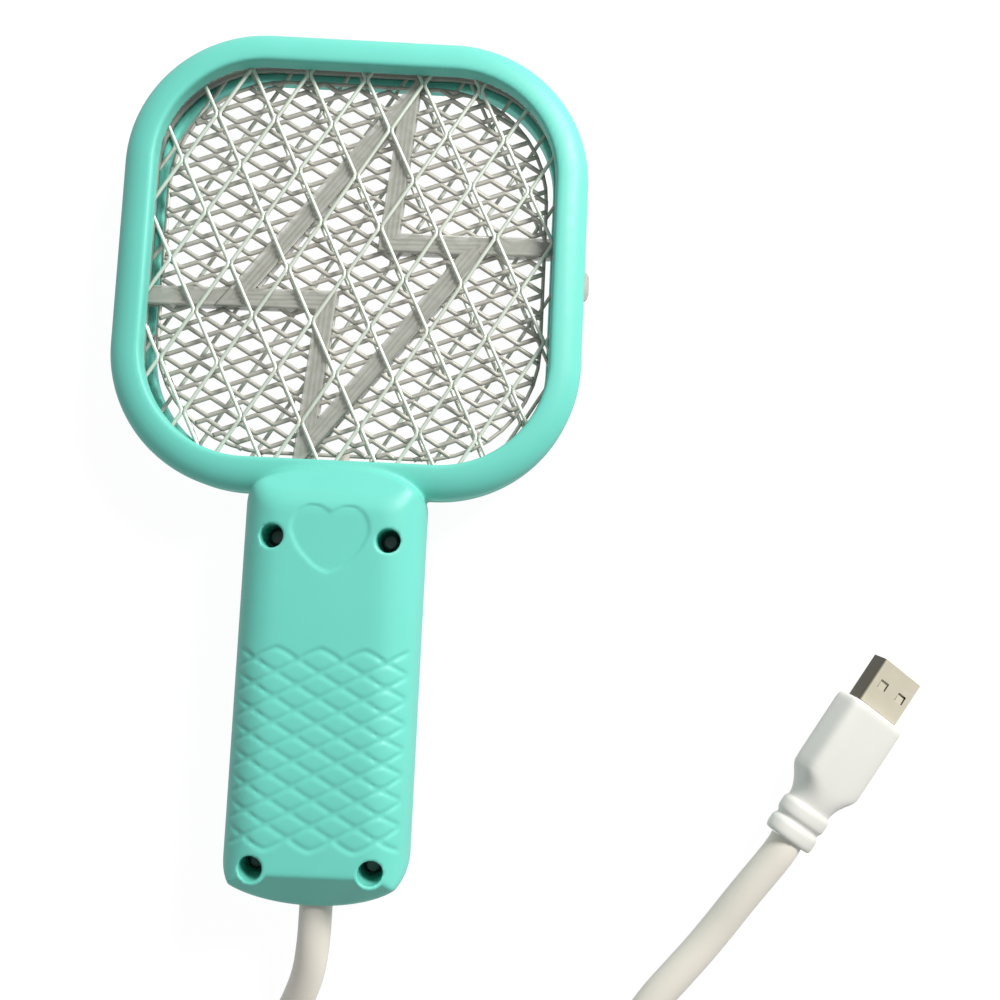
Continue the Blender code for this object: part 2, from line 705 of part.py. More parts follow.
def power_switch():
    top = BOARD_Z[0] - GAP
    body = box("switch", (-2.4 * MM, SWITCH_Y - 5.4 * MM, 5.4 * MM), (2.4 * MM, SWITCH_Y + 5.4 * MM, top))
    slot = box("slot", (-1.2 * MM, SWITCH_Y - 3.2 * MM, 5 * MM), (1.2 * MM, SWITCH_Y + 3.2 * MM, 7.4 * MM))
    finish(cut(body, slot), "power_switch_body", STEEL)
    rest_y = SWITCH_Y - KNOB_TRAVEL / 2
    knob = plate("knob", [shifted(rounded_box(3.6 * MM, 4.6 * MM, 0.8 * MM), rest_y)], 0.6 * MM, 3.9 * MM)
    flange = box("flange", (-3.2 * MM, rest_y - 5.6 * MM, 3.5 * MM), (3.2 * MM, rest_y + 5.6 * MM, 4.3 * MM))
    stem = box("stem", (-0.8 * MM, rest_y - 1.3 * MM, 4 * MM), (0.8 * MM, rest_y + 1.3 * MM, 7 * MM))
    finish(join(knob, flange, stem), "power_switch_knob", BLACK, (0, rest_y, 0.6 * MM))


def indicator():
    lens = [(0, 3.6 * MM), (2.2 * MM, 3.6 * MM), (2.2 * MM, 2.5 * MM), (1.5 * MM, 2.5 * MM),
            (1.5 * MM, 1.0 * MM), (1.0 * MM, 0.5 * MM), (0, 0.4 * MM)]
    top = BOARD_Z[0] - GAP
    led = [(0, top), (1.9 * MM, top), (1.9 * MM, top - MM), (1.5 * MM, top - MM),
           (1.5 * MM, 5.2 * MM), (1.0 * MM, 4.3 * MM), (0, 4.0 * MM)]
    place = Matrix.Translation((0, LED_Y, 0))
    finish(turned("lens", lens, place, 16), "indicator_lens", CLEAR)
    finish(turned("led", led, place, 16), "indicator_led", RED)


# ---------------------------------------------------------------- electronics

def circuit_board():
    left, right = -2.4 * MM, 16 * MM
    top, step, low = -22.5 * MM, -34.1 * MM, -77.5 * MM
    outline = [(-right, top), (-right, step), (left, step), (left, low),
               (14.5 * MM, low), (right, -68.5 * MM), (right, top)]
    finish(plate("board", [outline], *BOARD_Z), "circuit_board", BOARD)


def along_y(at):
    """Place a turned piece so that its top points along -Y."""
    return Matrix.Translation(at) @ Matrix.Rotation(math.radians(90), 4, "X")


def along_x(at):
    return Matrix.Translation(at) @ Matrix.Rotation(math.radians(90), 4, "Y")


def battery():
    half = CELL_LENGTH / 2
    r = CELL_RADIUS
    profile = [(0, half), (r - MM, half), (r, half - MM), (r, MM - half), (r - MM, 1.0 * MM - half - 0.4 * MM),
               (2.5 * MM, 0.6 * MM - half), (2.5 * MM, -half - 0.3 * MM), (0, -half - 0.3 * MM)]
    finish(turned("cell", profile, along_y(CELL_AT), 24), "battery_cell", CELL)


def transformer():
    x, y, floor = 7.2 * MM, -45.5 * MM, BOARD_Z[1] + GAP
    core = box("core", (x - 6.5 * MM, y - 5.5 * MM, floor + 2 * MM), (x + 6.5 * MM, y + 5.5 * MM, floor + 7.6 * MM))
    for side in (-1, 1):
        near, far = sorted((x + side * 1.8 * MM, x + side * 4.9 * MM))
        core = cut(core, box("window", (near, y - 3.7 * MM, floor), (far, y + 3.7 * MM, floor + 20 * MM)))
    finish(core, "transformer_core", FERRITE)
    # the winding passes through both windows, round the core's middle leg
    leg_half = 1.8 * MM + GAP
    loops = [[(px + x, pz) for px, pz in rounded_box(9.0 * MM, 8.8 * MM, 1.5 * MM)],
             [(px + x, pz) for px, pz in rounded_box(2 * leg_half, 6.3 * MM, 0.2 * MM, 1)]]
    centre_z = floor + 4.8 * MM
    loops = [[(px, pz + centre_z) for px, pz in loop] for loop in loops]
    finish(plate("winding", loops, -y - 3.3 * MM, -y + 3.3 * MM, XZ), "transformer_winding", COPPER)


def axial_part(name, y, radius, length, look):
    """A small barrel with a lead at each end, lying across the board."""
    wire = 0.35 * MM
    half, reach = length / 2, length / 2 + 2.8 * MM
    profile = [(0, reach), (wire, reach), (wire, half), (radius, half - 0.3 * MM),
               (radius, 0.3 * MM - half), (wire, -half), (wire, -reach), (0, -reach)]
    at = (6.5 * MM, y, BOARD_Z[1] + GAP + radius)
    finish(turned(name, profile, along_x(at), 12), name, look)


def board_parts():
    floor = BOARD_Z[1] + GAP
    block = plate("block", [shifted(rounded_box(12 * MM, 6 * MM, 1.2 * MM), -58.5 * MM)], floor, floor + 9 * MM)
    block.location.x = 7 * MM
    finish(as_mesh(block), "high_voltage_capacitor", OCHRE)
    for number, y in enumerate((-64.8 * MM, -67.9 * MM, -71.0 * MM), 1):
        axial_part(f"multiplier_diode_{number}", y, 1.3 * MM, 5 * MM, BLACK)
    axial_part("bleed_resistor", -74.1 * MM, 1.1 * MM, 6 * MM, BEIGE)
    shape = [(2.3 * MM * math.cos(math.radians(a)), 2.3 * MM * math.sin(math.radians(a))) for a in range(-50, 231, 20)]
    part = plate("transistor", [shape], floor, floor + 4.8 * MM)
    part.location = (12.3 * MM, -35 * MM, 0)
    finish(as_mesh(part), "drive_transistor", BLACK)
    chip = box("chip", (0.4 * MM, -39 * MM, floor), (5.4 * MM, -35.1 * MM, floor + 1.5 * MM))
    finish(chip, "charging_chip", BLACK)


def wires():
    """Insulated leads: three up to the meshes, two to the battery and two from the cord."""
    r = 0.65 * MM
    end_z = BOARD_Z[1] + GAP
    tab_y = CONTACT_Y - GAP
    guard_rise = LAYER_REACH - GAP - MESH_THICKNESS / 2
    routes = {
        "rear_guard_lead": [(-CONTACT_X, tab_y, MID_Z + guard_rise), (-6.8 * MM, -0.0155, 0.0160),
                            (-6.2 * MM, -0.0225, 0.0150), (-6 * MM, -0.0270, 0.0134), (-6 * MM, -0.0280, end_z)],
        "high_voltage_lead": [(0, tab_y, MID_Z), (0.2 * MM, -0.0155, 0.0138),
                              (0.4 * MM, -0.0230, 0.0146), (0.3 * MM, -0.0278, 0.0134), (0.3 * MM, -0.0288, end_z)],
        "front_guard_lead": [(CONTACT_X, tab_y, MID_Z - guard_rise), (6.9 * MM, -0.0140, 0.0092),
                             (6.6 * MM, -0.0190, 0.0124), (6.3 * MM, -0.0250, 0.0141), (6.2 * MM, -0.0280, 0.0131),
                             (6.2 * MM, -0.0288, end_z)],
        "battery_lead_positive": [(CELL_AT[0], -0.0343, 0.0140), (-9.2 * MM, -0.0320, 0.0152),
                                  (-8.8 * MM, -0.0303, 0.0134), (-8.8 * MM, -0.0297, end_z)],
        "battery_lead_negative": [(CELL_AT[0], -0.0788, 0.0140), (-6.8 * MM, -0.0800, 0.0162),
                                  (-2.9 * MM, -0.0780, 0.0168), (-1.3 * MM, -0.0740, 0.0146),
                                  (-1.2 * MM, -0.0720, end_z)],
        "charge_wire_positive": [(1.3 * MM, -0.0794, MID_Z), (1.6 * MM, -0.0786, 0.0127),
                                 (3.0 * MM, -0.0773, 0.0135), (3.6 * MM, -0.0765, 0.0126), (3.8 * MM, -0.0762, end_z)],
        "charge_wire_negative": [(-1.3 * MM, -0.0794, MID_Z), (-1.1 * MM, -0.0786, 0.0127),
                                 (-0.2 * MM, -0.0772, 0.0135), (0.4 * MM, -0.0763, 0.0126), (0.6 * MM, -0.0760, end_z)],
    }
    looks = {"positive": RED, "negative": BLACK}
    for name, route in routes.items():
        look = looks.get(name.split("_")[-1], RED if name.startswith("high") else BLACK)
        tube(name, route, r, look, 1.2 * MM)


# ---------------------------------------------------------------- cord and plug

def cord_fittings():
    hole = CORD_RADIUS + GAP
    grommet = [(hole, 2 * MM), (5.7 * MM, 2 * MM), (5.7 * MM, -2 * MM), (hole, -2 * MM)]
    finish(turned("grommet", grommet, along_y((0, -86.9 * MM, MID_Z)), 24), "cord_grommet", BLACK)
    saddle = box("saddle", (-7.2 * MM, -84.3 * MM, MID_Z + GAP), (7.2 * MM, -81.1 * MM, MID_Z + 6 * MM))
    groove = cylinder("groove", hole, 78.5 * MM, 88.5 * MM, (0, MID_Z), XZ, steps=24)
    finish(cut(saddle, groove), "cord_clamp", MINT_DARK)


def cord():
    tube("cord_lead", LEAD_ROUTE, CORD_RADIUS, CORD_WHITE, 7 * MM)
    tube("cord_tail", cord_tail_route(), CORD_RADIUS, CORD_WHITE, 8 * MM)
    centre_x, centre_y = COIL_CENTRE
    steps = 40
    path = [(centre_x + COIL_RADIUS * math.cos(math.tau * i / steps),
             centre_y + COIL_RADIUS * math.sin(math.tau * i / steps)) for i in range(steps)]
    middle_z = COIL_LIFT + COIL_SIDE / 2
    coil = sweep("coil", path, rounded_box(COIL_SIDE, COIL_SIDE, 4 * MM), middle_z)
    finish(coil, "cord_coil", CORD_WHITE)
    inner = COIL_SIDE + 2 * GAP
    tie_y = centre_y - COIL_RADIUS
    loops = [rounded_box(inner + 2 * TIE_WALL, inner + 2 * TIE_WALL, 5 * MM),
             rounded_box(inner, inner, 4.1 * MM)]
    loops = [[(px + tie_y, pz + middle_z) for px, pz in loop] for loop in loops]
    finish(plate("tie", loops, centre_x - 2.5 * MM, centre_x + 2.5 * MM, YZ), "cord_tie", BLACK)


def cord_tail_route():
    """The tail runs straight into the plug and ends one gap short of its strain relief."""
    return TAIL_ROUTE + [plug_place() @ Vector((0, along, 0)) for along in (-4 * MM, -GAP)]


def plug_place():
    turn = Matrix.Rotation(-PLUG_HEADING, 4, "Z") @ Matrix.Rotation(PLUG_ROLL, 4, "Y")
    return Matrix.Translation(PLUG_END) @ turn


def usb_plug():
    """Built along +Y from the end of the strain relief, and hung from an empty that places it."""
    plug = bpy.data.objects.new("usb_plug", None)
    PARTS.objects.link(plug)
    plug.matrix_world = plug_place()
    rib, groove, low = 5.9 * MM, 5.1 * MM, 4.3 * MM
    ribs = []
    for start in (0, 4.7 * MM):
        for along, radius in ((0, rib - 0.6 * MM), (0.5 * MM, rib), (3.2 * MM, rib), (3.7 * MM, groove)):
            ribs.append((start + along, radius, min(radius, low), 2.2))
    stations = ribs + [
        (RELIEF_LENGTH, 5.6 * MM, low, 2.4), (RELIEF_LENGTH + 3 * MM, 6.2 * MM, low, 3),
        (BODY_START, 7.9 * MM, low, 5), (BODY_END - 0.8 * MM, 7.9 * MM, low, 6), (BODY_END, 7.2 * MM, 3.6 * MM, 6),
    ]
    overmould = finish(loft("overmould", stations), "usb_overmould", PLUG_WHITE)
    start, end = BODY_END + GAP, BODY_END + GAP + SHELL_LENGTH
    wide, high = SHELL_SIZE
    loops = [rounded_box(wide, high, 0.7 * MM), rounded_box(wide - 2 * SHELL_WALL, high - 2 * SHELL_WALL, 0.35 * MM)]
    shell = plate("shell", loops, -end, -start, XZ)
    for side in (-1, 1):
        x = side * 2.9 * MM
        shell = cut(shell, box("window", (x - 1.2 * MM, start + 4.4 * MM, 0), (x + 1.2 * MM, start + 6.4 * MM, high)))
    shell = finish(shell, "usb_shell", SHELL_STEEL)
    inner = wide / 2 - SHELL_WALL - GAP
    tongue = box("tongue", (-inner, start, -1.65 * MM), (inner, end - 0.8 * MM, 0.1 * MM))
    tongue = finish(tongue, "usb_tongue", PLUG_WHITE)
    for piece in (overmould, shell, tongue):
        piece.parent = plug


clear_scene()
PARTS = collection("electric_fly_swatter")
CUTTERS = collection("guides")

MINT = material("mint_plastic", (0.17, 0.71, 0.56), 0.42)
MINT_DARK = material("mint_inner_plastic", (0.12, 0.50, 0.40), 0.5)
GUARD = material("guard_metal", (0.68, 0.72, 0.62), 0.38, 0.8)
WIRE_GREY = material("mesh_metal", (0.42, 0.41, 0.37), 0.4, 0.9)
CLEAR = material("clear_plastic", (0.82, 0.85, 0.82), 0.15, alpha=0.4)
STEEL = material("screw_steel", (0.45, 0.46, 0.46), 0.35, 1.0)
SHELL_STEEL = material("plug_shell_metal", (0.80, 0.76, 0.66), 0.25, 1.0)
WHITE = material("white_plastic", (0.85, 0.85, 0.83), 0.4)
PLUG_WHITE = material("plug_plastic", (0.86, 0.86, 0.83), 0.45)
CORD_WHITE = material("cord_jacket", (0.84, 0.82, 0.78), 0.5)
BLACK = material("black_plastic", (0.02, 0.02, 0.02), 0.5)
RED = material("red_plastic", (0.60, 0.04, 0.03), 0.4)
BOARD = material("board_laminate", (0.05, 0.25, 0.10), 0.5)
CELL = material("cell_wrap", (0.05, 0.18, 0.45), 0.35)
FERRITE = material("ferrite", (0.06, 0.06, 0.06), 0.6)
COPPER = material("winding_tape", (0.75, 0.60, 0.10), 0.45)
OCHRE = material("capacitor_epoxy", (0.55, 0.20, 0.05), 0.4)
BEIGE = material("resistor_paint", (0.60, 0.48, 0.30), 0.5)

rear_cover()
front_cover()
case_screws()
head_layers()
push_button()
tact_switch()
power_switch()
indicator()
circuit_board()
battery()
transformer()
board_parts()
wires()
cord_fittings()
cord()
usb_plug()
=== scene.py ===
"""Looks of the electric fly swatter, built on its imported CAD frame.

Metres, +Z up, in the CAD's frame: the swatter lies on its front face with the screw side up, and +Y runs
from the handle to the head. The implicit solids of the covers are worked out in millimetres.
"""
import json
import math

import bmesh
import bpy
import numpy as np
from mathutils import Matrix, Vector


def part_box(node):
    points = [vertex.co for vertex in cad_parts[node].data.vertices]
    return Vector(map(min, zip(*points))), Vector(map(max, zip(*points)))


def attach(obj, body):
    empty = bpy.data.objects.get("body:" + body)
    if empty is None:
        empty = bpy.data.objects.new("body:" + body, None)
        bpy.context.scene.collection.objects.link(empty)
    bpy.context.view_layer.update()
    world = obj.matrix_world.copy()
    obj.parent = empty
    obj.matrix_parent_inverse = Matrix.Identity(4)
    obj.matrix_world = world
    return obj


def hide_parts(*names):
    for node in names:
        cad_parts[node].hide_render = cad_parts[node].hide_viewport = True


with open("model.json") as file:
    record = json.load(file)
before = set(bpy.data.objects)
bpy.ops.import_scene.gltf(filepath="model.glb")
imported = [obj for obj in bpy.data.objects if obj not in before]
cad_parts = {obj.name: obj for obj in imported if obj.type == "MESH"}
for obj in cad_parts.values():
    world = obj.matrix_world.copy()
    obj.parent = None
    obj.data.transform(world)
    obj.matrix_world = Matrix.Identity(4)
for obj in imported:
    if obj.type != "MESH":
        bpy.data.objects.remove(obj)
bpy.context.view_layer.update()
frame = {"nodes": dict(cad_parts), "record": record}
NODES = frame["nodes"]

MM = 0.001

# Camera: where it is, how it is turned, and its focal length in picture widths
CAMERA_AT = Vector((0.031763, -0.027327, 0.234821))
CAMERA_YAW = 0.01374
CAMERA_PITCH = 0.08931
CAMERA_ROLL = 0.04559
FOCAL = 1.021

# Light. The floor and the sky look white to the camera, and light the pieces less than that.
FLOOR_SEEN = 0.95
FLOOR_LIGHT = 0.65
SKY_LIGHT = 0.34
FLOOR_REACH = 3.0

# Cord: the routes are the CAD's, and the coil's turns run between them
CORD_DIAMETER = 7 * MM
LEAD_ROUTE = [
    (0, -0.0800, 0.0125), (0, -0.0885, 0.0125), (0, -0.0960, 0.0125),
    (-0.0002, -0.1025, 0.0119), (-0.0012, -0.1095, 0.0097), (-0.0036, -0.1165, 0.0068),
    (-0.0070, -0.1235, 0.0046), (-0.0108, -0.1301, 0.0038),
]
TAIL_ROUTE = [
    (0.0640, -0.1427, 0.0080), (0.0642, -0.1365, 0.0058), (0.0650, -0.1303, 0.0043),
    (0.0672, -0.1243, 0.0038), (0.0704, -0.1188, 0.0037), (0.0742, -0.1136, 0.0037),
    (0.0786, -0.1086, 0.0037), (0.0833, -0.1032, 0.0037), (0.0877, -0.0975, 0.0041),
    (0.0920, -0.0914, 0.0050),
]
COIL_TURNS = 2.5
COIL_STEPS = 36  # route points for each turn
OUTER_TURN = 42.5 * MM
INNER_TURN = 35.4 * MM

# Plug, along its axis from the end of the strain relief
PLUG_END = Vector((0.1012, -0.0786, 0.0061))
PLUG_HEADING = math.radians(32.5)
PLUG_ROLL = math.radians(20)
BODY_END = 34 * MM
SHELL_LENGTH = 10.5 * MM
SHELL_SIZE = (12 * MM, 4.5 * MM)
SHELL_WALL = 0.3 * MM
WINDOW_X = 2.9 * MM  # middles of the shell's windows, and half their width
WINDOW_HALF = 1.2 * MM

# Covers, in millimetres
HALF_HEAD = 51.2
HEAD_CORNER = 30.8
HEAD_MIDDLE = 42.8
BAR = 7.3
RING_HALF_DEPTH = 6.7
SHOULDER = (6.0, 4.2)
HALF_WIDTH = 19.5
HALF_DEPTH = 12.5
LAND = 8.0
END = -94.0
ARCH = (-11.5, 9.4)  # centre and length of the half ellipse at the head
TAIL_END = (-83.7, 10.3)  # and of the one at the cord's end
RAMP_TOP = -10.6
RAMP = (8.5, 5.5)
CHAMFER_TOP = -85.7
WALL = 2.0
SCREW_X = 12.0
SCREW_YS = (-18.0, -84.7)
BOSS_RADIUS = 3.6
COLLAR_RADIUS = 3.4
RECESS_RADIUS = 2.5
RECESS_FLOOR = 15.5
PILOT_RADIUS = 1.45
CORD_HOLE = (3.9, -86.5)  # the cord hole's radius, and how far along the handle it is cut
LAYER_REACH = 2.75
RING_GROOVE = (1.85, 3.9)  # half the groove's width and half its height
TAB_Y = 40.7
TAB_HALF = 3.5
PLATE_HALF = 49.1
PLATE_CORNER = 28.7
ELECTRODE_HALF = 42.6
ELECTRODE_CORNER = 26.0
GUARD_LATTICE = ((12.83, 22.46), 0.8, math.radians(-2.5), 0.8)  # cell, strand width, turn, knuckle
FINE_LATTICE = ((4.955, 7.286), 1.0, math.radians(-94.74), 0.4)
BACK_GUARD_SHIFT = (5.59, 8.82)  # the lattices' places, from the head's middle
FRONT_GUARD_SHIFT = (2.39, 13.82)
FINE_SHIFT = (-1.62, -0.20)
STRAND_STEP = 0.6
CONTACT_X = 7  # the guards' tabs, to either side of the charged mesh's
SPACER_EDGE = 4.0
RIB_HALF = 2.1
RIB_RIDGES = 4
RIDGE_DEPTH = 0.3
CONTACT_Y = HEAD_MIDDLE - PLATE_HALF - 3.2  # where the meshes' contact tabs end

# Half of the lightning bolt's centre line from its own middle; the other half is turned by 180 degrees
BOLT_MIDDLE = (1.0, HEAD_MIDDLE - 1.1)
BOLT_HALF = [(9.5, 40.1), (-26.8, -7.2), (-6.4, -6.9)]

# Grip and heart on the back
GRIP_CELL = (9.0, 5.055)
GRIP_START = (-0.35, -43.03)
GRIP_ROWS = 15
GRIP_DEPTH = 0.28
HEART_DEPTH = 0.28

MINT = (0.152, 0.640, 0.540)

# Controls on the front
BUTTON_Y = -26.5
BUTTON_RADIUS = 5.5
LED_Y = -39.5
SWITCH_Y = -53.5

# ---------------------------------------------------------------- camera, floor and light

def camera():
    sp, cp = math.sin(CAMERA_PITCH), math.cos(CAMERA_PITCH)
    sy, cy = math.sin(CAMERA_YAW), math.cos(CAMERA_YAW)
    level = Vector((cy, 0, sy))
    upward = Vector((-sp * sy, cp, sp * cy))
    forward = Vector((cp * sy, sp, -cp * cy))
    right = level * math.cos(CAMERA_ROLL) + upward * math.sin(CAMERA_ROLL)
    up = upward * math.cos(CAMERA_ROLL) - level * math.sin(CAMERA_ROLL)
    made = bpy.data.objects.new("camera", bpy.data.cameras.new("camera"))
    made.data.sensor_width = 36
    made.data.lens = 36 * FOCAL
    made.data.clip_start = 0.01
    turn = Matrix((right, up, -forward)).transposed().to_4x4()
    made.matrix_world = Matrix.Translation(CAMERA_AT) @ turn
    bpy.context.scene.collection.objects.link(made)
    bpy.context.scene.camera = made


def area_light(name, at, aim, size, watts, color):
    light = bpy.data.lights.new(name, "AREA")
    light.shape = "DISK"
    light.size = size
    light.energy = watts
    light.color = color
    made = bpy.data.objects.new(name, light)
    made.location = at
    made.rotation_euler = (Vector(aim) - Vector(at)).to_track_quat("-Z", "Y").to_euler()
    bpy.context.scene.collection.objects.link(made)


def stage():
    """A white floor with faint shadows, a white sky, and one soft light from above."""
    mesh = bpy.data.meshes.new("floor")
    corners = [(x * FLOOR_REACH, y * FLOOR_REACH, 0) for x, y in ((-1, -1), (1, -1), (1, 1), (-1, 1))]
    mesh.from_pydata(corners, [], [(0, 1, 2, 3)])
    floor = bpy.data.objects.new("floor", mesh)
    floor.location.z = -0.05 * MM
    bpy.context.scene.collection.objects.link(floor)
    look = bpy.data.materials.new("floor_white")
    look.use_nodes = True
    shader = look.node_tree.nodes["Principled BSDF"]
    shader.inputs["Base Color"].default_value = (0.08, 0.08, 0.08, 1)
    shader.inputs["Roughness"].default_value = 0.9
    shader.inputs["Emission Color"].default_value = (1, 1, 1, 1)
    glow = look.node_tree.nodes.new("ShaderNodeMapRange")
    glow.inputs["To Min"].default_value = FLOOR_LIGHT
    glow.inputs["To Max"].default_value = FLOOR_SEEN
    eye = look.node_tree.nodes.new("ShaderNodeLightPath")
    look.node_tree.links.new(eye.outputs["Is Camera Ray"], glow.inputs["Value"])
    look.node_tree.links.new(glow.outputs["Result"], shader.inputs["Emission Strength"])
    mesh.materials.append(look)
    world = bpy.data.worlds.new("world")
    bpy.context.scene.world = world
    world.use_nodes = True
    tree = world.node_tree
    tree.nodes["Background"].inputs["Strength"].default_value = SKY_LIGHT
    tree.nodes["Background"].inputs["Color"].default_value = (1, 1, 1, 1)
    seen = tree.nodes.new("ShaderNodeBackground")
    seen.inputs["Color"].default_value = (1, 1, 1, 1)
    mix = tree.nodes.new("ShaderNodeMixShader")
    ray = tree.nodes.new("ShaderNodeLightPath")
    tree.links.new(ray.outputs["Is Camera Ray"], mix.inputs["Fac"])
    tree.links.new(tree.nodes["Background"].outputs[0], mix.inputs[1])
    tree.links.new(seen.outputs[0], mix.inputs[2])
    tree.links.new(mix.outputs[0], tree.nodes["World Output"].inputs["Surface"])
    area_light("key_light", (0.50, 0.52, 0.56), (0, 0, 0), 0.35, 10.6, (1.0, 0.98, 0.95))
    bpy.context.scene.view_settings.view_transform = "Standard"


# ---------------------------------------------------------------- materials

def shader_of(look):
    return look.node_tree.nodes["Principled BSDF"]


def surface(name, color, roughness, metallic=0.0, mottle=0.04, grain=(900, 0.02), wear=0.05, **settings):
    """A Principled material whose colour, roughness and bump vary with noise in object space.

    mottle is how far the colour wanders, grain is the bump's frequency per metre and its strength,
    and wear lets the roughness wander.
    """
    look = bpy.data.materials.new(name)
    look.use_nodes = True
    tree = look.node_tree
    shader = tree.nodes["Principled BSDF"]
    place = tree.nodes.new("ShaderNodeTexCoord")

    def noise(scale, detail):
        made = tree.nodes.new("ShaderNodeTexNoise")
        made.inputs["Scale"].default_value = scale
        made.inputs["Detail"].default_value = detail
        tree.links.new(place.outputs["Object"], made.inputs["Vector"])
        return made

    def ramp(source, low, high):
        made = tree.nodes.new("ShaderNodeMapRange")
        made.inputs["From Min"].default_value = 0.3
        made.inputs["From Max"].default_value = 0.7
        made.inputs["To Min"].default_value = low
        made.inputs["To Max"].default_value = high
        tree.links.new(source, made.inputs["Value"])
        return made.outputs["Result"]

    tint = tree.nodes.new("ShaderNodeMix")
    tint.data_type = "RGBA"
    tint.inputs[6].default_value = (*[c * (1 - mottle) for c in color], 1)
    tint.inputs[7].default_value = (*[min(1, c * (1 + mottle)) for c in color], 1)
    tree.links.new(ramp(noise(60, 4).outputs["Fac"], 0, 1), tint.inputs["Factor"])
    tree.links.new(tint.outputs[2], shader.inputs["Base Color"])
    rough = ramp(noise(350, 6).outputs["Fac"], max(0.02, roughness - wear), min(1, roughness + wear))
    tree.links.new(rough, shader.inputs["Roughness"])
    bump = tree.nodes.new("ShaderNodeBump")
    frequency, strength = grain
    bump.inputs["Strength"].default_value = strength
    bump.inputs["Distance"].default_value = 0.1 * MM
    tree.links.new(noise(frequency, 3).outputs["Fac"], bump.inputs["Height"])
    tree.links.new(bump.outputs["Normal"], shader.inputs["Normal"])
    shader.inputs["Metallic"].default_value = metallic
    for key, value in settings.items():
        shader.inputs[key.replace("_", " ").title()].default_value = value
    return look


def wear(obj, look):
    """Give an object that material."""
    obj.data.materials.clear()
    obj.data.materials.append(look)


# ---------------------------------------------------------------- small geometry helpers

def link(name, mesh):
    made = bpy.data.objects.new(name, mesh)
    bpy.context.scene.collection.objects.link(made)
    return made


def smooth(obj, degrees=40):
    obj.data.shade_smooth()
    obj.data.set_sharp_from_angle(angle=math.radians(degrees))


def catmull_rom(knots, step):
    """Points about one step apart on a smooth curve through the knots."""
    knots = [Vector(k) for k in knots]
    knots = [2 * knots[0] - knots[1]] + knots + [2 * knots[-1] - knots[-2]]
    points = []
    for a, b, c, d in zip(knots, knots[1:], knots[2:], knots[3:]):
        parts = max(1, round((c - b).length / step))
        for part in range(parts):
            t = part / parts
            points.append(0.5 * (
                2 * b + (c - a) * t + (2 * a - 5 * b + 4 * c - d) * t * t + (3 * b - 3 * c + d - a) * t ** 3
            ))
    points.append(knots[-2])
    return points


def smoothstep(x, low, high):
    t = np.clip((x - low) / (high - low), 0, 1)
    return t * t * (3 - 2 * t)


# ---------------------------------------------------------------- implicit solids, in millimetres

def smooth_max(a, b, k):
    h = np.clip(0.5 - 0.5 * (b - a) / k, 0, 1)
    return b + (a - b) * h + k * h * (1 - h)


def smooth_min(a, b, k):
    return -smooth_max(-a, -b, k)


def scaled(value, slope):
    """Turn a shape function's value into a distance by its slope."""
    return value / np.maximum(slope, 0.02)


def rounded_square_distance(x, y, half, corner):
    across, along = np.abs(x) - half + corner, np.abs(y) - half + corner
    outside = np.hypot(np.maximum(across, 0), np.maximum(along, 0))
    return outside + np.minimum(np.maximum(across, along), 0) - corner


def ellipse_distance(x, y, a, b):
    size = np.hypot(x / a, y / b)
    slope = np.hypot(x / a ** 2, y / b ** 2) / np.maximum(size, 1e-6)
    return scaled(size - 1, slope)


def plan_distance(x, y, inset):
    half = HALF_WIDTH - inset
    head = ellipse_distance(x, np.maximum(y - ARCH[0], 0), half, ARCH[1] - inset)
    tail = ellipse_distance(x, np.minimum(y - TAIL_END[0], 0), half, TAIL_END[1] - inset)
    return np.where(y > (ARCH[0] + TAIL_END[0]) / 2, head, tail)


def section_distance(x, rise, inset):
    power = 2.6
    land = LAND - inset / 2
    u = np.maximum(np.abs(x) - land, 0) / (HALF_WIDTH - inset - land)
    v = np.abs(rise) / (HALF_DEPTH - inset)
    size = np.maximum(u ** power + v ** power, 1e-9) ** (1 / power)
    over = np.maximum(size, 1e-6) ** (power - 1)
    across = u ** (power - 1) / over / (HALF_WIDTH - inset - land)
    upward = v ** (power - 1) / over / (HALF_DEPTH - inset)
    return scaled(size - 1, np.hypot(across, upward))


def handle_distance(x, y, rise, inset=0.0):
    """rise is the height over the parting plane; the shape is the same above and below it."""
    up = np.abs(rise)
    top = HALF_DEPTH - inset
    body = section_distance(x, rise, inset)
    run, drop = RAMP
    length = math.hypot(run, drop)
    ramp = ((y - RAMP_TOP) * drop + (up - HALF_DEPTH) * run) / length + inset
    body = smooth_max(body, ramp, 1.6)
    body = smooth_max(body, (CHAMFER_TOP - y + up - HALF_DEPTH) / math.sqrt(2) + inset, 0.5)
    body = smooth_max(body, plan_distance(x, y, inset), 1.3)
    return smooth_max(body, np.maximum(END + inset - y, up - top), 0.3)


def ring_distance(x, y, rise):
    inwards = -rounded_square_distance(x, y - HEAD_MIDDLE, HALF_HEAD, HEAD_CORNER)
    up = np.abs(rise)
    reach, drop = SHOULDER
    u = np.maximum(reach - inwards, 0) / reach
    v = np.maximum(up - RING_HALF_DEPTH + drop, 0) / drop
    size = np.hypot(u, v)
    shoulder = scaled(size - 1, np.hypot(u / reach, v / drop) / np.maximum(size, 1e-6))
    return smooth_max(shoulder, inwards - BAR, 0.9)


def cylinder_distance(x, y, middle, radius):
    return np.hypot(x - middle[0], y - middle[1]) - radius


def box_distance(x, y, z, low, high):
    parts = [np.abs(v - (a + b) / 2) - (b - a) / 2 for v, a, b in zip((x, y, z), low, high)]
    return np.maximum(np.maximum(parts[0], parts[1]), parts[2])


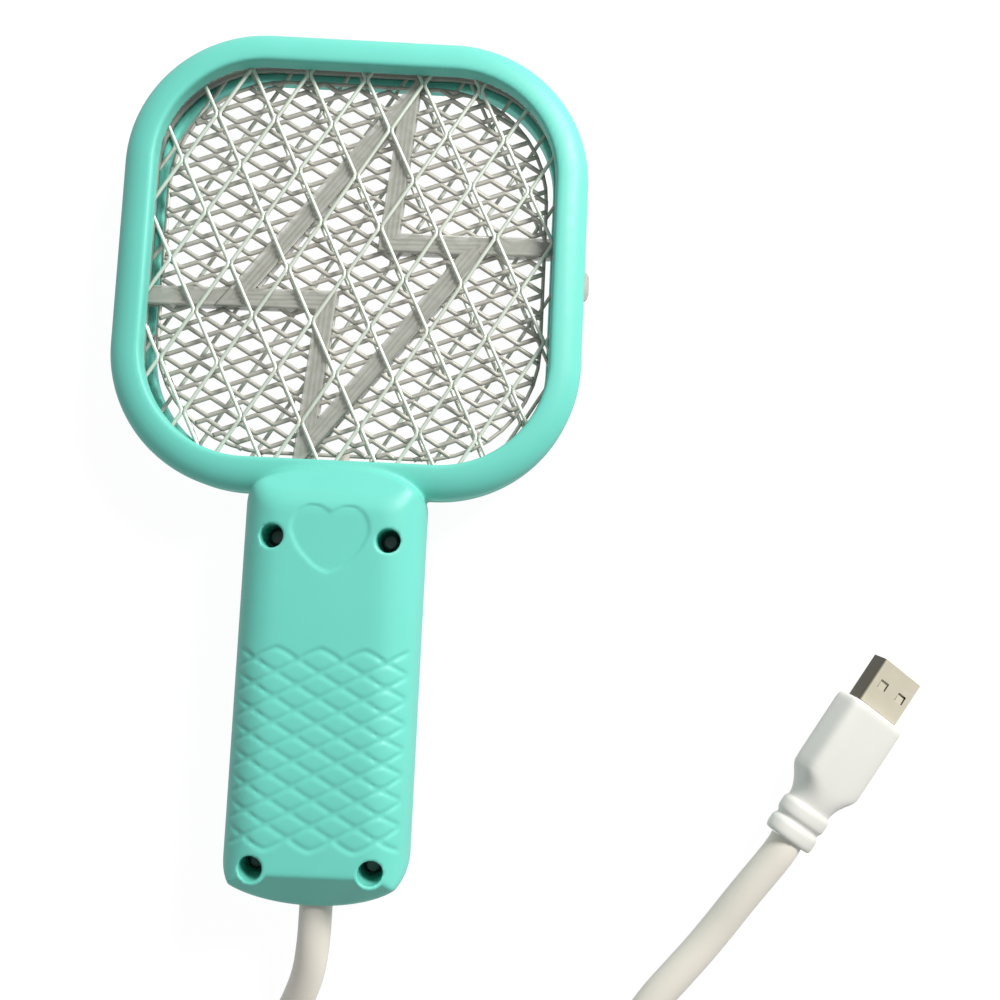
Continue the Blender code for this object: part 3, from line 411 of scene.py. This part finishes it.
def grip_relief(x, y):
    """How deep the grooves between the grip's staggered diamonds are cut at each place."""
    wide, high = GRIP_CELL
    nearest = np.full(np.shape(x), 9.0)
    row = (GRIP_START[1] - y) / (high / 2)
    for parity in (0, 1):
        k = np.clip(2 * np.round((row - parity) / 2) + parity, parity, GRIP_ROWS - 1 - parity)
        across = x - GRIP_START[0] - parity * wide / 2
        dx = np.abs(across - wide * np.round(across / wide)) / (wide / 2)
        dy = np.abs(row - k)
        nearest = np.minimum(nearest, dx ** 1.25 + dy ** 1.25)
    groove = smoothstep(nearest, 0.54, 0.86) * (1 - smoothstep(nearest, 0.95, 1.22))
    dome = 0.10 * np.minimum(nearest, 0.6) ** 2
    inside = nearest < 0.75
    return (GRIP_DEPTH * groove + np.where(inside, dome, 0)) * (1 - smoothstep(np.abs(x), 16.2, 18.0))


def heart_relief(x, y):
    """A shallow heart near the head, from polar radii about its middle."""
    side, up = np.abs(x), y + 17.2
    angle = np.arctan2(up, side)  # -90 at the tip, 90 at the notch
    turns = np.radians([-90, -70, -50, -30, -10, 5, 20, 35, 50, 65, 78, 90])
    reach = np.array([7.8, 7.2, 6.75, 6.9, 7.4, 8.1, 8.35, 8.3, 7.75, 6.6, 5.4, 4.6])
    edge = np.interp(angle, turns, reach)
    return HEART_DEPTH * (1 - smoothstep(np.hypot(side, up), edge - 0.28, edge + 0.28))


def screw_places():
    return [(side * SCREW_X, y) for y in SCREW_YS for side in (-1, 1)]


def hollow_out(shape, x, y, rise):
    """Take out the handle's cavity, the ring's groove and the pocket that holds the layers."""
    shape = np.maximum(shape, -handle_distance(x, y, rise, WALL))
    inwards = -rounded_square_distance(x, y - HEAD_MIDDLE, HALF_HEAD, HEAD_CORNER)
    groove = np.maximum(np.abs(inwards - BAR / 2) - RING_GROOVE[0], np.abs(rise) - RING_GROOVE[1])
    shape = np.maximum(shape, -groove)
    pocket = rounded_square_distance(x, y - HEAD_MIDDLE, PLATE_HALF + 0.3, PLATE_CORNER + 0.3)
    return np.maximum(shape, -np.maximum(pocket, np.abs(rise) - LAYER_REACH))


def cord_hole(x, y, rise):
    radius, end = CORD_HOLE
    return np.maximum(np.hypot(x, rise) - radius, y - end)


def rear_cover_field(x, y, z):
    rise = z - HALF_DEPTH
    handle = handle_distance(x, y, rise)
    outer = smooth_min(handle + grip_relief(x, y) + heart_relief(x, y), ring_distance(x, y, rise), 1.0)
    section = section_distance(x, rise, 0.05)
    solid = hollow_out(outer, x, y, rise)
    for place in screw_places():
        solid = np.minimum(solid, np.maximum(cylinder_distance(x, y, place, BOSS_RADIUS), outer))
    for place in screw_places()[2:]:
        collar = smooth_max(cylinder_distance(x, y, place, COLLAR_RADIUS), section, 0.5)
        solid = np.minimum(solid, np.maximum(collar, 2 - rise))
    for place in screw_places():
        away = cylinder_distance(x, y, place, 0)
        solid = smooth_max(solid, -np.maximum(away - RECESS_RADIUS, RECESS_FLOOR - z), 0.35)
        solid = np.maximum(solid, PILOT_RADIUS - away)
    wide = TAB_HALF + 0.3
    top = HALF_DEPTH + LAYER_REACH - 0.3
    notch = box_distance(x, y, z, (48.1, TAB_Y - wide, 11.5), (53, TAB_Y + wide, top))
    solid = np.maximum(solid, -notch)
    solid = np.maximum(solid, -cord_hole(x, y, rise))
    return np.maximum(solid, 0.15 - rise)


def front_cover_field(x, y, z):
    rise = z - HALF_DEPTH
    outer = smooth_min(handle_distance(x, y, rise), ring_distance(x, y, rise), 1.0)
    solid = hollow_out(outer, x, y, rise)
    button = cylinder_distance(x, y, (0, BUTTON_Y), 0)
    for place in screw_places():
        solid = np.minimum(solid, np.maximum(cylinder_distance(x, y, place, BOSS_RADIUS), outer))
        solid = np.maximum(solid, -np.maximum(cylinder_distance(x, y, place, PILOT_RADIUS), 4.5 - z))
    pad = np.minimum(button - BUTTON_RADIUS - 3.3, np.maximum(np.abs(x) - 5.6, np.abs(y - SWITCH_Y) - 8.6))
    solid = np.minimum(solid, np.maximum(np.maximum(pad, z - 3.2), outer))
    dish = np.maximum(button - BUTTON_RADIUS - 3.4 + 1.6 * np.clip(z, 0, 1.2) / 1.2, z - 1.2)
    solid = smooth_max(solid, -dish, 0.4)
    solid = np.maximum(solid, BUTTON_RADIUS + 0.3 - button)
    recess = rounded_square_distance(x, (y - SWITCH_Y) * 0.6, 4.5, 2.0)
    solid = smooth_max(solid, -np.maximum(recess, z - 1.3), 0.3)
    slot = np.maximum(np.abs(x) - 2.2, np.abs(y - SWITCH_Y) - 4.2)
    solid = np.maximum(solid, -np.maximum(slot, z - 5))
    solid = np.maximum(solid, -np.maximum(cylinder_distance(x, y, (0, LED_Y), 1.8), z - 3))
    cell = np.hypot(x + 9.6, rise) - 7.3
    solid = np.maximum(solid, -np.maximum(cell, np.abs(y + 56.5) - 24))
    solid = np.maximum(solid, -cord_hole(x, y, rise))
    return np.maximum(solid, rise + 0.15)


# ---------------------------------------------------------------- surface nets

def spaced(low, high, pieces):
    """Grid planes from low to high; pieces are (end, spacing)."""
    planes, at = [], low
    for end, step in pieces:
        count = max(1, round((end - at) / step))
        planes.extend(at + (end - at) * i / count for i in range(count))
        at = end
    planes.append(high)
    return np.array(planes)


def surface_net(field, xs, ys, zs):
    """Vertices near the field's zero set and the quads between them, facing outwards."""
    grid = np.meshgrid(xs, ys, zs, indexing="ij")
    values = field(*grid)
    shape = tuple(n - 1 for n in values.shape)
    total = np.zeros(shape + (3,))
    count = np.zeros(shape)
    axes = [xs, ys, zs]
    quads = []
    crossings = []
    for axis in range(3):
        first = [slice(None)] * 3
        second = [slice(None)] * 3
        first[axis], second[axis] = slice(None, -1), slice(1, None)
        a, b = values[tuple(first)], values[tuple(second)]
        cut = (a < 0) != (b < 0)
        at = np.argwhere(cut)
        va, vb = a[cut], b[cut]
        t = va / (va - vb)
        place = np.stack([axes[k][at[:, k]] for k in range(3)], 1)
        place[:, axis] += t * (axes[axis][at[:, axis] + 1] - axes[axis][at[:, axis]])
        one, two = [k for k in range(3) if k != axis]
        for d1 in (0, 1):
            for d2 in (0, 1):
                cell = at.copy()
                cell[:, one] -= d1
                cell[:, two] -= d2
                ok = np.all((cell >= 0) & (cell < np.array(shape)), 1)
                index = tuple(cell[ok].T)
                np.add.at(total, index, place[ok])
                np.add.at(count, index, 1)
        crossings.append((axis, at, va < 0))
    numbers = np.full(shape, -1)
    used = count > 0
    numbers[used] = np.arange(used.sum())
    points = total[used] / count[used][:, None]
    for axis, at, entering in crossings:
        one, two = (axis + 1) % 3, (axis + 2) % 3
        keep = (at[:, one] > 0) & (at[:, two] > 0) & (at[:, one] < shape[one]) & (at[:, two] < shape[two])
        at, entering = at[keep], entering[keep]
        corners = []
        for d1, d2 in ((1, 1), (0, 1), (0, 0), (1, 0)):
            cell = at.copy()
            cell[:, one] -= d1
            cell[:, two] -= d2
            corners.append(numbers[tuple(cell.T)])
        quad = np.stack(corners, 1)
        quad[~entering] = quad[~entering][:, ::-1]
        quads.append(quad)
    return points, np.concatenate(quads)


def settle(points, field, steps=3, reach=0.12):
    """Move the vertices onto the field's zero set along its slope, at most reach at each step."""
    e = 0.02
    for _ in range(steps):
        x, y, z = points.T
        value = field(x, y, z)
        slope = np.stack([
            field(x + e, y, z) - field(x - e, y, z), field(x, y + e, z) - field(x, y - e, z),
            field(x, y, z + e) - field(x, y, z - e)], 1) / (2 * e)
        square = np.maximum((slope ** 2).sum(1), 0.1)
        move = -slope * (value / square)[:, None]
        size = np.linalg.norm(move, axis=1, keepdims=True)
        points = points + move * np.minimum(1, reach / np.maximum(size, 1e-9))
    return points


def mesh_from(name, points, faces):
    """A mesh from millimetre points and quads."""
    mesh = bpy.data.meshes.new(name)
    mesh.vertices.add(len(points))
    mesh.vertices.foreach_set("co", (points * MM).astype(np.float32).ravel())
    mesh.loops.add(faces.size)
    mesh.loops.foreach_set("vertex_index", faces.astype(np.int32).ravel())
    mesh.polygons.add(len(faces))
    mesh.polygons.foreach_set("loop_start", (np.arange(len(faces)) * 4).astype(np.int32))
    mesh.update(calc_edges=True)
    mesh.validate()
    return link(name, mesh)


def solid(name, field, xs, ys, zs):
    points, faces = surface_net(field, xs, ys, zs)
    points = settle(points, field)
    made = mesh_from(name, points, faces)
    made.data.shade_smooth()
    print(name, len(faces) * 2, "triangles")
    return made


def covers():
    fine, coarse = 0.42, 0.85
    edge = HALF_HEAD + 0.4
    xs = spaced(-edge, edge, [(-20, coarse), (20, fine), (edge, coarse)])
    ys = spaced(END - 0.4, 94.4, [(-0.5, fine), (94.4, coarse)])
    zs = spaced(12.4, 25.4, [(15.2, 0.55), (25.4, 0.42)])
    rear = solid("back_shell", rear_cover_field, xs, ys, zs)
    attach(rear, "swatter")
    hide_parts("rear_cover")
    xs = spaced(-edge, edge, [(-20, coarse), (20, 0.55), (edge, coarse)])
    ys = spaced(END - 0.4, 94.4, [(-0.5, 0.55), (94.4, coarse)])
    zs = spaced(-0.4, 12.6, [(12.6, 0.5)])
    front = solid("front_shell", front_cover_field, xs, ys, zs)
    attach(front, "swatter")
    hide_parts("front_cover")
    look = surface("mint_abs", MINT, 0.48, mottle=0.015, grain=(1800, 0.05), wear=0.05)
    wear(rear, look)
    wear(front, look)


# ---------------------------------------------------------------- ribbons and frames

def rounded_square_path(half, corner, steps=10, middle=HEAD_MIDDLE):
    points = []
    for quarter in range(4):
        for step in range(steps + 1):
            turn = math.radians(90 * quarter + 90 * step / steps)
            side_x = 1 if quarter in (0, 3) else -1
            side_y = 1 if quarter in (0, 1) else -1
            points.append((side_x * (half - corner) + corner * math.cos(turn),
                           side_y * (half - corner) + corner * math.sin(turn) + middle))
    return points


def ribbon(path, section, closed):
    """Carry a closed section of (left, up) along a level path with mitred corners, as points and quads."""
    path = np.array(path, float)
    count, size = len(path), len(section)
    after = np.roll(path, -1, 0) - path
    before = path - np.roll(path, 1, 0)
    if not closed:
        after[-1], before[0] = before[-1], after[0]
    after /= np.linalg.norm(after, axis=1, keepdims=True)
    before /= np.linalg.norm(before, axis=1, keepdims=True)
    left_a = np.stack([-after[:, 1], after[:, 0]], 1)
    left_b = np.stack([-before[:, 1], before[:, 0]], 1)
    mitre = left_a + left_b
    mitre /= np.linalg.norm(mitre, axis=1, keepdims=True)
    mitre /= np.maximum((mitre * left_a).sum(1, keepdims=True), 0.3)
    section = np.array(section, float)
    points = np.zeros((count, size, 3))
    points[:, :, :2] = path[:, None] + mitre[:, None] * section[None, :, :1]
    points[:, :, 2] = section[None, :, 1]
    faces = []
    for i in range(count if closed else count - 1):
        a, b = i * size, (i + 1) % count * size
        for j in range(size):
            k = (j + 1) % size
            faces.append((a + j, a + k, b + k, b + j))
    if not closed and size == 4:
        last = (count - 1) * size
        faces.append((0, 3, 2, 1))
        faces.append((last, last + 1, last + 2, last + 3))
    return points.reshape(-1, 3), np.array(faces)


def gathered(parts):
    points, faces, start = [], [], 0
    for these, quads in parts:
        points.append(these)
        faces.append(quads + start)
        start += len(these)
    return np.concatenate(points), np.concatenate(faces)


def strip_section(half, low, high):
    return [(half, low), (half, high), (-half, high), (-half, low)]


def lattice(size, pattern, shift, low, high):
    """Expanded metal: strands that zigzag side by side and touch at the knuckles.

    size is half the side and the corner radius of the square it fills. pattern is the cell (across the
    strands, along them), the strand's width, its direction from +Y, and the knuckle's length.
    """
    half, corner = size
    (across, along), strand, turn, knuckle = pattern
    c, s = math.cos(turn), math.sin(turn)
    reach = 1.5 * HALF_HEAD
    parts = []
    for column in range(-round(reach / across * 2) - 2, round(reach / across * 2) + 2):
        zigzag = []
        for row in range(-round(reach / along) * 2 - 2, round(reach / along) * 2 + 3):
            right = (row + column) % 2 == 1
            x = (column + right) * across / 2 + (-strand / 2 if right else strand / 2) * 0.9
            y = row * along / 2
            zigzag += [(x, y - knuckle / 2), (x, y + knuckle / 2)]
        dense = []
        for (ax, ay), (bx, by) in zip(zigzag, zigzag[1:]):
            steps = max(1, round(math.dist((ax, ay), (bx, by)) / STRAND_STEP))
            dense += [(ax + (bx - ax) * i / steps, ay + (by - ay) * i / steps) for i in range(steps)]
        turned = np.array([(c * x - s * y, s * x + c * y) for x, y in dense])
        turned = turned + (shift[0], shift[1] + HEAD_MIDDLE)
        keep = rounded_square_distance(turned[:, 0], turned[:, 1] - HEAD_MIDDLE, half - 0.2, corner) < 0
        run = []
        for point, ok in zip(turned, keep):
            if ok:
                run.append(point)
            elif run:
                if len(run) > 2:
                    parts.append(ribbon(run, strip_section(strand / 2, low, high), False))
                run = []
    return parts


def head_mesh(name, node, look, size, edge, pattern, shift, tab_x):
    """A mesh with an edge strip of that width and a contact tab that hangs down into the handle."""
    lo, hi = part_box(node)
    low, high = lo.z / MM, hi.z / MM
    half, corner = size
    border = ribbon(rounded_square_path(half - edge / 2, corner - edge / 2),
                    strip_section(edge / 2, low + 0.02, high - 0.02), True)
    tab_path = [(tab_x, HEAD_MIDDLE - half + 1), (tab_x, CONTACT_Y)]
    tab = ribbon(tab_path, strip_section(1.5, low + 0.01, high - 0.01), False)
    parts = [border, tab]
    parts += lattice(size, pattern, shift, low, high)
    made = mesh_from(name, *gathered(parts))
    wear(made, look)
    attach(made, "swatter")
    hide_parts(node)
    return made


def bolt_paths():
    """The lightning bolt's closed outline and its two arms, as on the real ribs' centre lines."""
    bolt = [(BOLT_MIDDLE[0] + side * x, BOLT_MIDDLE[1] + side * y) for side in (1, -1) for x, y in BOLT_HALF]
    arms = []
    for side in (1, -1):
        start = bolt[1] if side == 1 else bolt[4]
        step = [side * (a - b) for a, b in zip(BOLT_HALF[1], BOLT_HALF[2])]
        length = (PLATE_HALF - 2 - abs(start[0])) / abs(step[0])
        arms.append([start, (start[0] + step[0] * length, start[1] + step[1] * length)])
    return bolt, arms


def fin(low, high):
    """The small clear tab that shows beside the ring, with a rounded outer edge."""
    corner = 1.8
    square = (HALF_HEAD + 1.1 - corner, TAB_HALF - corner)
    stations = [(PLATE_HALF - 3, TAB_HALF)]
    for step in range(7):
        turn = math.radians(15 * step)
        stations.append((square[0] + corner * math.sin(turn), square[1] + corner * math.cos(turn)))
    points = [(x, TAB_Y + side * wide, z) for x, wide in stations
              for side, z in ((-1, low), (1, low), (1, high), (-1, high))]
    faces = [(a + j, a + (j + 1) % 4, a + 4 + (j + 1) % 4, a + 4 + j)
             for a in range(0, len(points) - 4, 4) for j in range(4)]
    last = len(points) - 4
    faces += [(3, 2, 1, 0), (last, last + 1, last + 2, last + 3)]
    return np.array(points), np.array(faces)


def head_spacer(name, node, look, with_tab):
    """A clear frame with ridged bands in the shape of a lightning bolt."""
    lo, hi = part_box(node)
    low, high = lo.z / MM, hi.z / MM
    inset = SPACER_EDGE / 2
    frame_path = rounded_square_path(PLATE_HALF - inset, PLATE_CORNER - inset)
    parts = [ribbon(frame_path, strip_section(inset, low, high), True)]
    half = RIB_HALF
    last = 2 * RIB_RIDGES
    bottom = [(-half + 2 * half * i / last, low + 0.06 + (RIDGE_DEPTH if i % 2 == 0 and 0 < i < last else 0))
              for i in range(last + 1)]
    top = [(x, low + high - z) for x, z in reversed(bottom)]
    section = bottom[::-1] + top[::-1]
    bolt, arms = bolt_paths()
    limit = PLATE_HALF - 1.2
    bolt = [(x, min(max(y, HEAD_MIDDLE - limit + half), HEAD_MIDDLE + limit - half)) for x, y in bolt]
    parts.append(ribbon(bolt, section, True))
    middle = (low + high) / 2
    inner_section = [(x * 0.97, middle + (z - middle) * 0.94) for x, z in section]
    for arm in arms:
        parts.append(ribbon(arm, inner_section, False))
    if with_tab:
        parts.append(fin(low + 0.06, high - 0.06))
    made = mesh_from(name, *gathered(parts))
    wear(made, look)
    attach(made, "swatter")
    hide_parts(node)
    return made


def head():
    pale = surface(
        "guard_metal", (0.70, 0.76, 0.67), 0.40, metallic=0.25, mottle=0.06, grain=(1500, 0.10), wear=0.08)
    dark = surface(
        "electrode_metal", (0.50, 0.49, 0.44), 0.5, metallic=0.35, mottle=0.1, grain=(1500, 0.15), wear=0.1)
    clear = surface(
        "clear_styrene", (0.50, 0.51, 0.46), 0.25, mottle=0.03, grain=(700, 0.05), wear=0.06, alpha=0.55)
    guard = (PLATE_HALF, PLATE_CORNER)
    charged = (ELECTRODE_HALF, ELECTRODE_CORNER)
    head_mesh("back_guard", "rear_guard_mesh", pale, guard, 2.6, GUARD_LATTICE,
              BACK_GUARD_SHIFT, -CONTACT_X)
    head_mesh("front_guard", "front_guard_mesh", pale, guard, 2.6, GUARD_LATTICE,
              FRONT_GUARD_SHIFT, CONTACT_X)
    head_mesh("electrode", "high_voltage_mesh", dark, charged, 0.8, FINE_LATTICE,
              FINE_SHIFT, 0)
    head_spacer("back_bolt", "rear_spacer", clear, True)
    head_spacer("front_bolt", "front_spacer", clear, False)


# ---------------------------------------------------------------- plug

def loft(name, stations, around=64):
    """Join super-ellipse sections (along, half width, half height, power) into one closed body."""
    shape = bmesh.new()
    rings = []
    for along, wide, high, power in stations:
        ring = []
        for step in range(around):
            turn = math.tau * (step + 0.5) / around
            c, s = math.cos(turn), math.sin(turn)
            x = wide * math.copysign(abs(c) ** (2 / power), c)
            z = high * math.copysign(abs(s) ** (2 / power), s)
            ring.append(shape.verts.new((x, along, z)))
        rings.append(ring)
    for near, far in zip(rings, rings[1:]):
        for step in range(around):
            after = (step + 1) % around
            shape.faces.new((near[step], near[after], far[after], far[step]))
    shape.faces.new(rings[0])
    shape.faces.new(rings[-1])
    bmesh.ops.recalc_face_normals(shape, faces=shape.faces)
    mesh = bpy.data.meshes.new(name)
    shape.to_mesh(mesh)
    shape.free()
    return link(name, mesh)


def overmould():
    """Two soft rings on the strain relief, a neck, and a flat-topped body."""
    rib, groove, low, dip = 5.85 * MM, 5.25 * MM, 4.25 * MM, 3.75 * MM
    stations = [(0, 5.0 * MM, 3.6 * MM, 2.2)]
    for start in (0, 4.6 * MM):
        for along, share in ((0.1, 0.3), (0.4, 0.7), (0.9, 0.95), (1.5, 1), (2.5, 1), (3.1, 0.9), (3.6, 0.5),
                             (3.9, 0.15), (4.2, 0)):
            wide = groove + (rib - groove) * share
            high = dip + (low - dip) * share
            stations.append((start + along * MM, wide, high, 2.2))
    for along, wide, high, power in (
            (9.6, 5.35, 3.85, 2.2), (10.6, 5.55, 4.0, 2.3), (11.8, 5.95, 4.15, 2.6),
            (13.0, 6.5, 4.22, 3.2), (14.0, 7.15, 4.25, 3.8), (14.8, 7.6, 4.25, 4.3),
            (15.7, 7.84, 4.25, 4.6), (17.5, 7.88, 4.25, 4.8), (32.0, 7.88, 4.25, 5),
            (32.9, 7.84, 4.2, 5), (33.5, 7.7, 4.05, 5), (33.85, 7.45, 3.85, 5), (34, 7.1, 3.6, 5)):
        stations.append((along * MM, wide * MM, high * MM, power))
    made = loft("plug_body", stations)
    smooth(made, 60)
    return made


def rectangle_loop(wide, high, corner, cuts):
    """Half sizes and a corner radius; the long sides are also split at the cuts."""
    points = []
    for quarter, (sx, sy) in enumerate(((1, 1), (-1, 1), (-1, -1), (1, -1))):
        for step in range(7):
            turn = math.radians(90 * quarter + 15 * step)
            x = sx * (wide - corner) + corner * math.cos(turn)
            points.append((x, sy * (high - corner) + corner * math.sin(turn)))
        if quarter in (0, 2):
            row = [(x, high if quarter == 0 else -high) for x in cuts]
            points += row[::-1] if quarter == 0 else row
    return points


def shell():
    """The folded steel shell: an open tube with two windows in each broad face."""
    start, end = BODY_END + 0.3 * MM, BODY_END + 0.3 * MM + SHELL_LENGTH
    wide, high = SHELL_SIZE[0] / 2, SHELL_SIZE[1] / 2
    window = [WINDOW_X - WINDOW_HALF, WINDOW_X + WINDOW_HALF]
    cuts = [-window[1], -window[0], window[0], window[1]]
    stops = [start, start + 4.4 * MM, start + 6.4 * MM, end]
    outer = rectangle_loop(wide, high, 0.8 * MM, cuts)
    inner = rectangle_loop(wide - SHELL_WALL, high - SHELL_WALL, 0.4 * MM, cuts)
    shape = bmesh.new()
    grids = [[[shape.verts.new((x, y, z)) for x, z in loop] for y in stops] for loop in (outer, inner)]
    count = len(outer)

    def is_window(i, k):
        (xa, za), (xb, zb) = outer[i], outer[(i + 1) % count]
        flat = za == zb and abs(abs(za) - high) < 1e-9
        return k == 1 and flat and abs(abs(xa + xb) / 2 - WINDOW_X) < 0.01 * MM

    for k in range(3):
        for i in range(count):
            j = (i + 1) % count
            if is_window(i, k):
                rim = [(1, i), (1, j), (2, j), (2, i)]
                for (ka, ia), (kb, ib) in zip(rim, rim[1:] + rim[:1]):
                    shape.faces.new((grids[0][ka][ia], grids[0][kb][ib], grids[1][kb][ib], grids[1][ka][ia]))
                continue
            for grid in grids:
                shape.faces.new((grid[k][i], grid[k][j], grid[k + 1][j], grid[k + 1][i]))
    for k in (0, 3):
        for i in range(count):
            j = (i + 1) % count
            shape.faces.new((grids[0][k][i], grids[0][k][j], grids[1][k][j], grids[1][k][i]))
    for side in (-1, 1):
        for face in (-1, 1):
            tab = bmesh.ops.create_cube(shape, size=1)["verts"]
            size = Matrix.Diagonal((1.9 * MM, 1.55 * MM, 0.2 * MM, 1))
            tilt = Matrix.Rotation(face * math.radians(-5), 4, "X")
            place = Matrix.Translation((side * WINDOW_X, stops[1] + 0.75 * MM, face * (high - 0.27 * MM)))
            bmesh.ops.transform(shape, verts=tab, matrix=place @ tilt @ size)
    bmesh.ops.recalc_face_normals(shape, faces=shape.faces)
    mesh = bpy.data.meshes.new("plug_shell")
    shape.to_mesh(mesh)
    shape.free()
    made = link("plug_shell", mesh)
    smooth(made, 35)
    return made


def paint_shade_on_sides(look, across):
    """Paint shade on the faces whose world-space normal lies along the given direction: their colour is
    mixed towards a dark brown, a painted shade for the shell's sides.
    """
    tree = look.node_tree
    shader = shader_of(look)
    source = shader.inputs["Base Color"].links[0].from_socket
    facing = tree.nodes.new("ShaderNodeNewGeometry")
    dot = tree.nodes.new("ShaderNodeVectorMath")
    dot.operation = "DOT_PRODUCT"
    dot.inputs[1].default_value = across
    tree.links.new(facing.outputs["Normal"], dot.inputs[0])
    side_shade_amount = tree.nodes.new("ShaderNodeMapRange")
    side_shade_amount.inputs["From Min"].default_value = 0.45
    side_shade_amount.inputs["From Max"].default_value = 0.9
    size = tree.nodes.new("ShaderNodeMath")
    size.operation = "ABSOLUTE"
    tree.links.new(dot.outputs["Value"], size.inputs[0])
    tree.links.new(size.outputs[0], side_shade_amount.inputs["Value"])
    mix = tree.nodes.new("ShaderNodeMix")
    mix.data_type = "RGBA"
    # Painted shade: the dark brown that the side faces are mixed towards.
    mix.inputs[7].default_value = (0.12, 0.11, 0.085, 1)
    tree.links.new(side_shade_amount.outputs["Result"], mix.inputs["Factor"])
    tree.links.new(source, mix.inputs[6])
    tree.links.new(mix.outputs[2], shader.inputs["Base Color"])


def usb_plug():
    """The plug's body and shell, at the cord's far end."""
    body, metal = overmould(), shell()
    for made, node, slot, look in (
        (body, "usb_overmould", "plug_plastic",
         surface("plug_pvc", (0.76, 0.765, 0.725), 0.45, mottle=0.015, grain=(1500, 0.05))),
        (metal, "usb_shell", "plug_shell_metal",
         surface("nickel", (0.74, 0.70, 0.56), 0.36, metallic=0.35, grain=(900, 0.04), wear=0.08)),
    ):
        made.data.transform(plug_place())
        wear(made, look)
        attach(made, "swatter")
        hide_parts(node)
    # Painted shade: the shell's side faces are darkened in their colour by the way they face.
    paint_shade_on_sides(metal.data.materials[0], plug_place().to_3x3() @ Vector((1, 0, 0)))
    return [body, metal]


# ---------------------------------------------------------------- cord

def plug_place():
    turn = Matrix.Rotation(-PLUG_HEADING, 4, "Z") @ Matrix.Rotation(PLUG_ROLL, 4, "Y")
    return Matrix.Translation(PLUG_END) @ turn


def coil_route():
    """Two and a half turns: the outer one, the inner one, then half a turn on top, between the two."""
    lo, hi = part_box("cord_coil")
    centre = (lo + hi) / 2
    floor_z = CORD_DIAMETER / 2 + 0.1 * MM
    lifted_z = lo.z + CORD_DIAMETER / 2 + 0.05 * MM
    top_rise = math.sqrt(CORD_DIAMETER ** 2 - ((OUTER_TURN - INNER_TURN) / 2) ** 2) + 0.1 * MM
    middle = (OUTER_TURN + INNER_TURN) / 2
    start = 170  # degrees, where the lead has come alongside the coil
    end = 180 + 360 * COIL_TURNS
    points = []
    count = round((end - start) / 360 * COIL_STEPS)
    for i in range(count + 1):
        degrees = start + (end - start) * i / count
        done = degrees - 180  # degrees since the coil's left side
        inward = smoothstep(done, 270, 360)
        climb = smoothstep(done, 600, 720)
        radius = OUTER_TURN + (INNER_TURN - OUTER_TURN) * inward + (middle - INNER_TURN) * climb
        away = abs((degrees - 270 + 180) % 360 - 180)
        lift = 1 - smoothstep(away, 12, 50)
        z = floor_z + (lifted_z - floor_z) * lift + top_rise * climb
        turn = math.radians(degrees)
        x, y = centre.x + radius * math.cos(turn), centre.y + radius * math.sin(turn)
        points.append(Vector((x, y, float(z))))
    return points


def cord_route():
    join_in = [(-0.0150, -0.1377, 0.0037), (-0.0190, -0.1485, 0.0036)]
    join_out = [(0.0606, -0.1585, 0.0114), (0.0620, -0.1505, 0.0105)]
    last = [plug_place() @ Vector((0, along, 0)) for along in (-4 * MM, -0.05 * MM)]
    knots = LEAD_ROUTE + join_in + coil_route() + join_out + TAIL_ROUTE + last
    return catmull_rom(knots, 2.2 * MM)


def cord():
    route = cord_route()
    length = sum((b - a).length for a, b in zip(route, route[1:]))
    print("cord length", round(length, 4))
    curve = bpy.data.curves.new("cord", "CURVE")
    curve.dimensions = "3D"
    curve.bevel_depth = CORD_DIAMETER / 2
    curve.bevel_resolution = 6
    curve.use_fill_caps = True
    spline = curve.splines.new("POLY")
    spline.points.add(len(route) - 1)
    for point, place in zip(spline.points, route):
        point.co = (*place, 1)
    spline.use_smooth = True
    made = bpy.data.objects.new("cord", curve)
    bpy.context.scene.collection.objects.link(made)
    look = surface("cord_pvc", (0.78, 0.745, 0.67), 0.42, mottle=0.03, grain=(1400, 0.06))
    wear(made, look)
    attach(made, "swatter")
    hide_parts("cord_lead", "cord_coil", "cord_tail")
    on_it = [NODES["cord_tie"], *usb_plug(), NODES["usb_tongue"]]


def inner_pieces():
    """Materials for the CAD's own solids: controls, screws, electronics and wires."""
    looks = {
        "screw_steel": surface("dark_zinc", (0.10, 0.105, 0.105), 0.42, metallic=0.8, grain=(1600, 0.1)),
        "white_plastic": surface("white_abs", (0.84, 0.84, 0.81), 0.38, mottle=0.02, grain=(1500, 0.05)),
        "plug_plastic": surface("tongue_pvc", (0.80, 0.79, 0.75), 0.45, mottle=0.02),
        "black_plastic": surface(
            "black_nylon", (0.022, 0.022, 0.024), 0.45, mottle=0.15, grain=(1500, 0.06)),
        "red_plastic": surface("red_epoxy", (0.62, 0.04, 0.03), 0.28, mottle=0.05),
        "clear_plastic": surface("lens_plastic", (0.80, 0.83, 0.82), 0.20, transmission_weight=0.6),
        "board_laminate": surface("solder_resist", (0.03, 0.20, 0.07), 0.35, mottle=0.12, grain=(1300, 0.1)),
        "cell_wrap": surface("cell_wrap", (0.04, 0.16, 0.42), 0.30, mottle=0.05),
        "ferrite": surface("ferrite", (0.045, 0.045, 0.048), 0.65, mottle=0.2, grain=(2200, 0.3)),
        "winding_tape": surface("winding_tape", (0.78, 0.60, 0.08), 0.35, mottle=0.06),
        "capacitor_epoxy": surface("dipped_epoxy", (0.52, 0.17, 0.04), 0.25, mottle=0.08),
        "resistor_paint": surface("resistor_paint", (0.62, 0.50, 0.32), 0.50, mottle=0.08),
        "mint_inner_plastic": surface("mint_inside", (0.12, 0.50, 0.40), 0.55, grain=(1500, 0.08)),
    }
    slots = {entry["node"]: entry["material_slot"] for entry in frame["record"]["subparts"]}
    for name, made in NODES.items():
        look = looks.get(slots.get(name))
        if look:
            wear(made, look)


camera()
stage()
covers()
head()
cord()
inner_pieces()
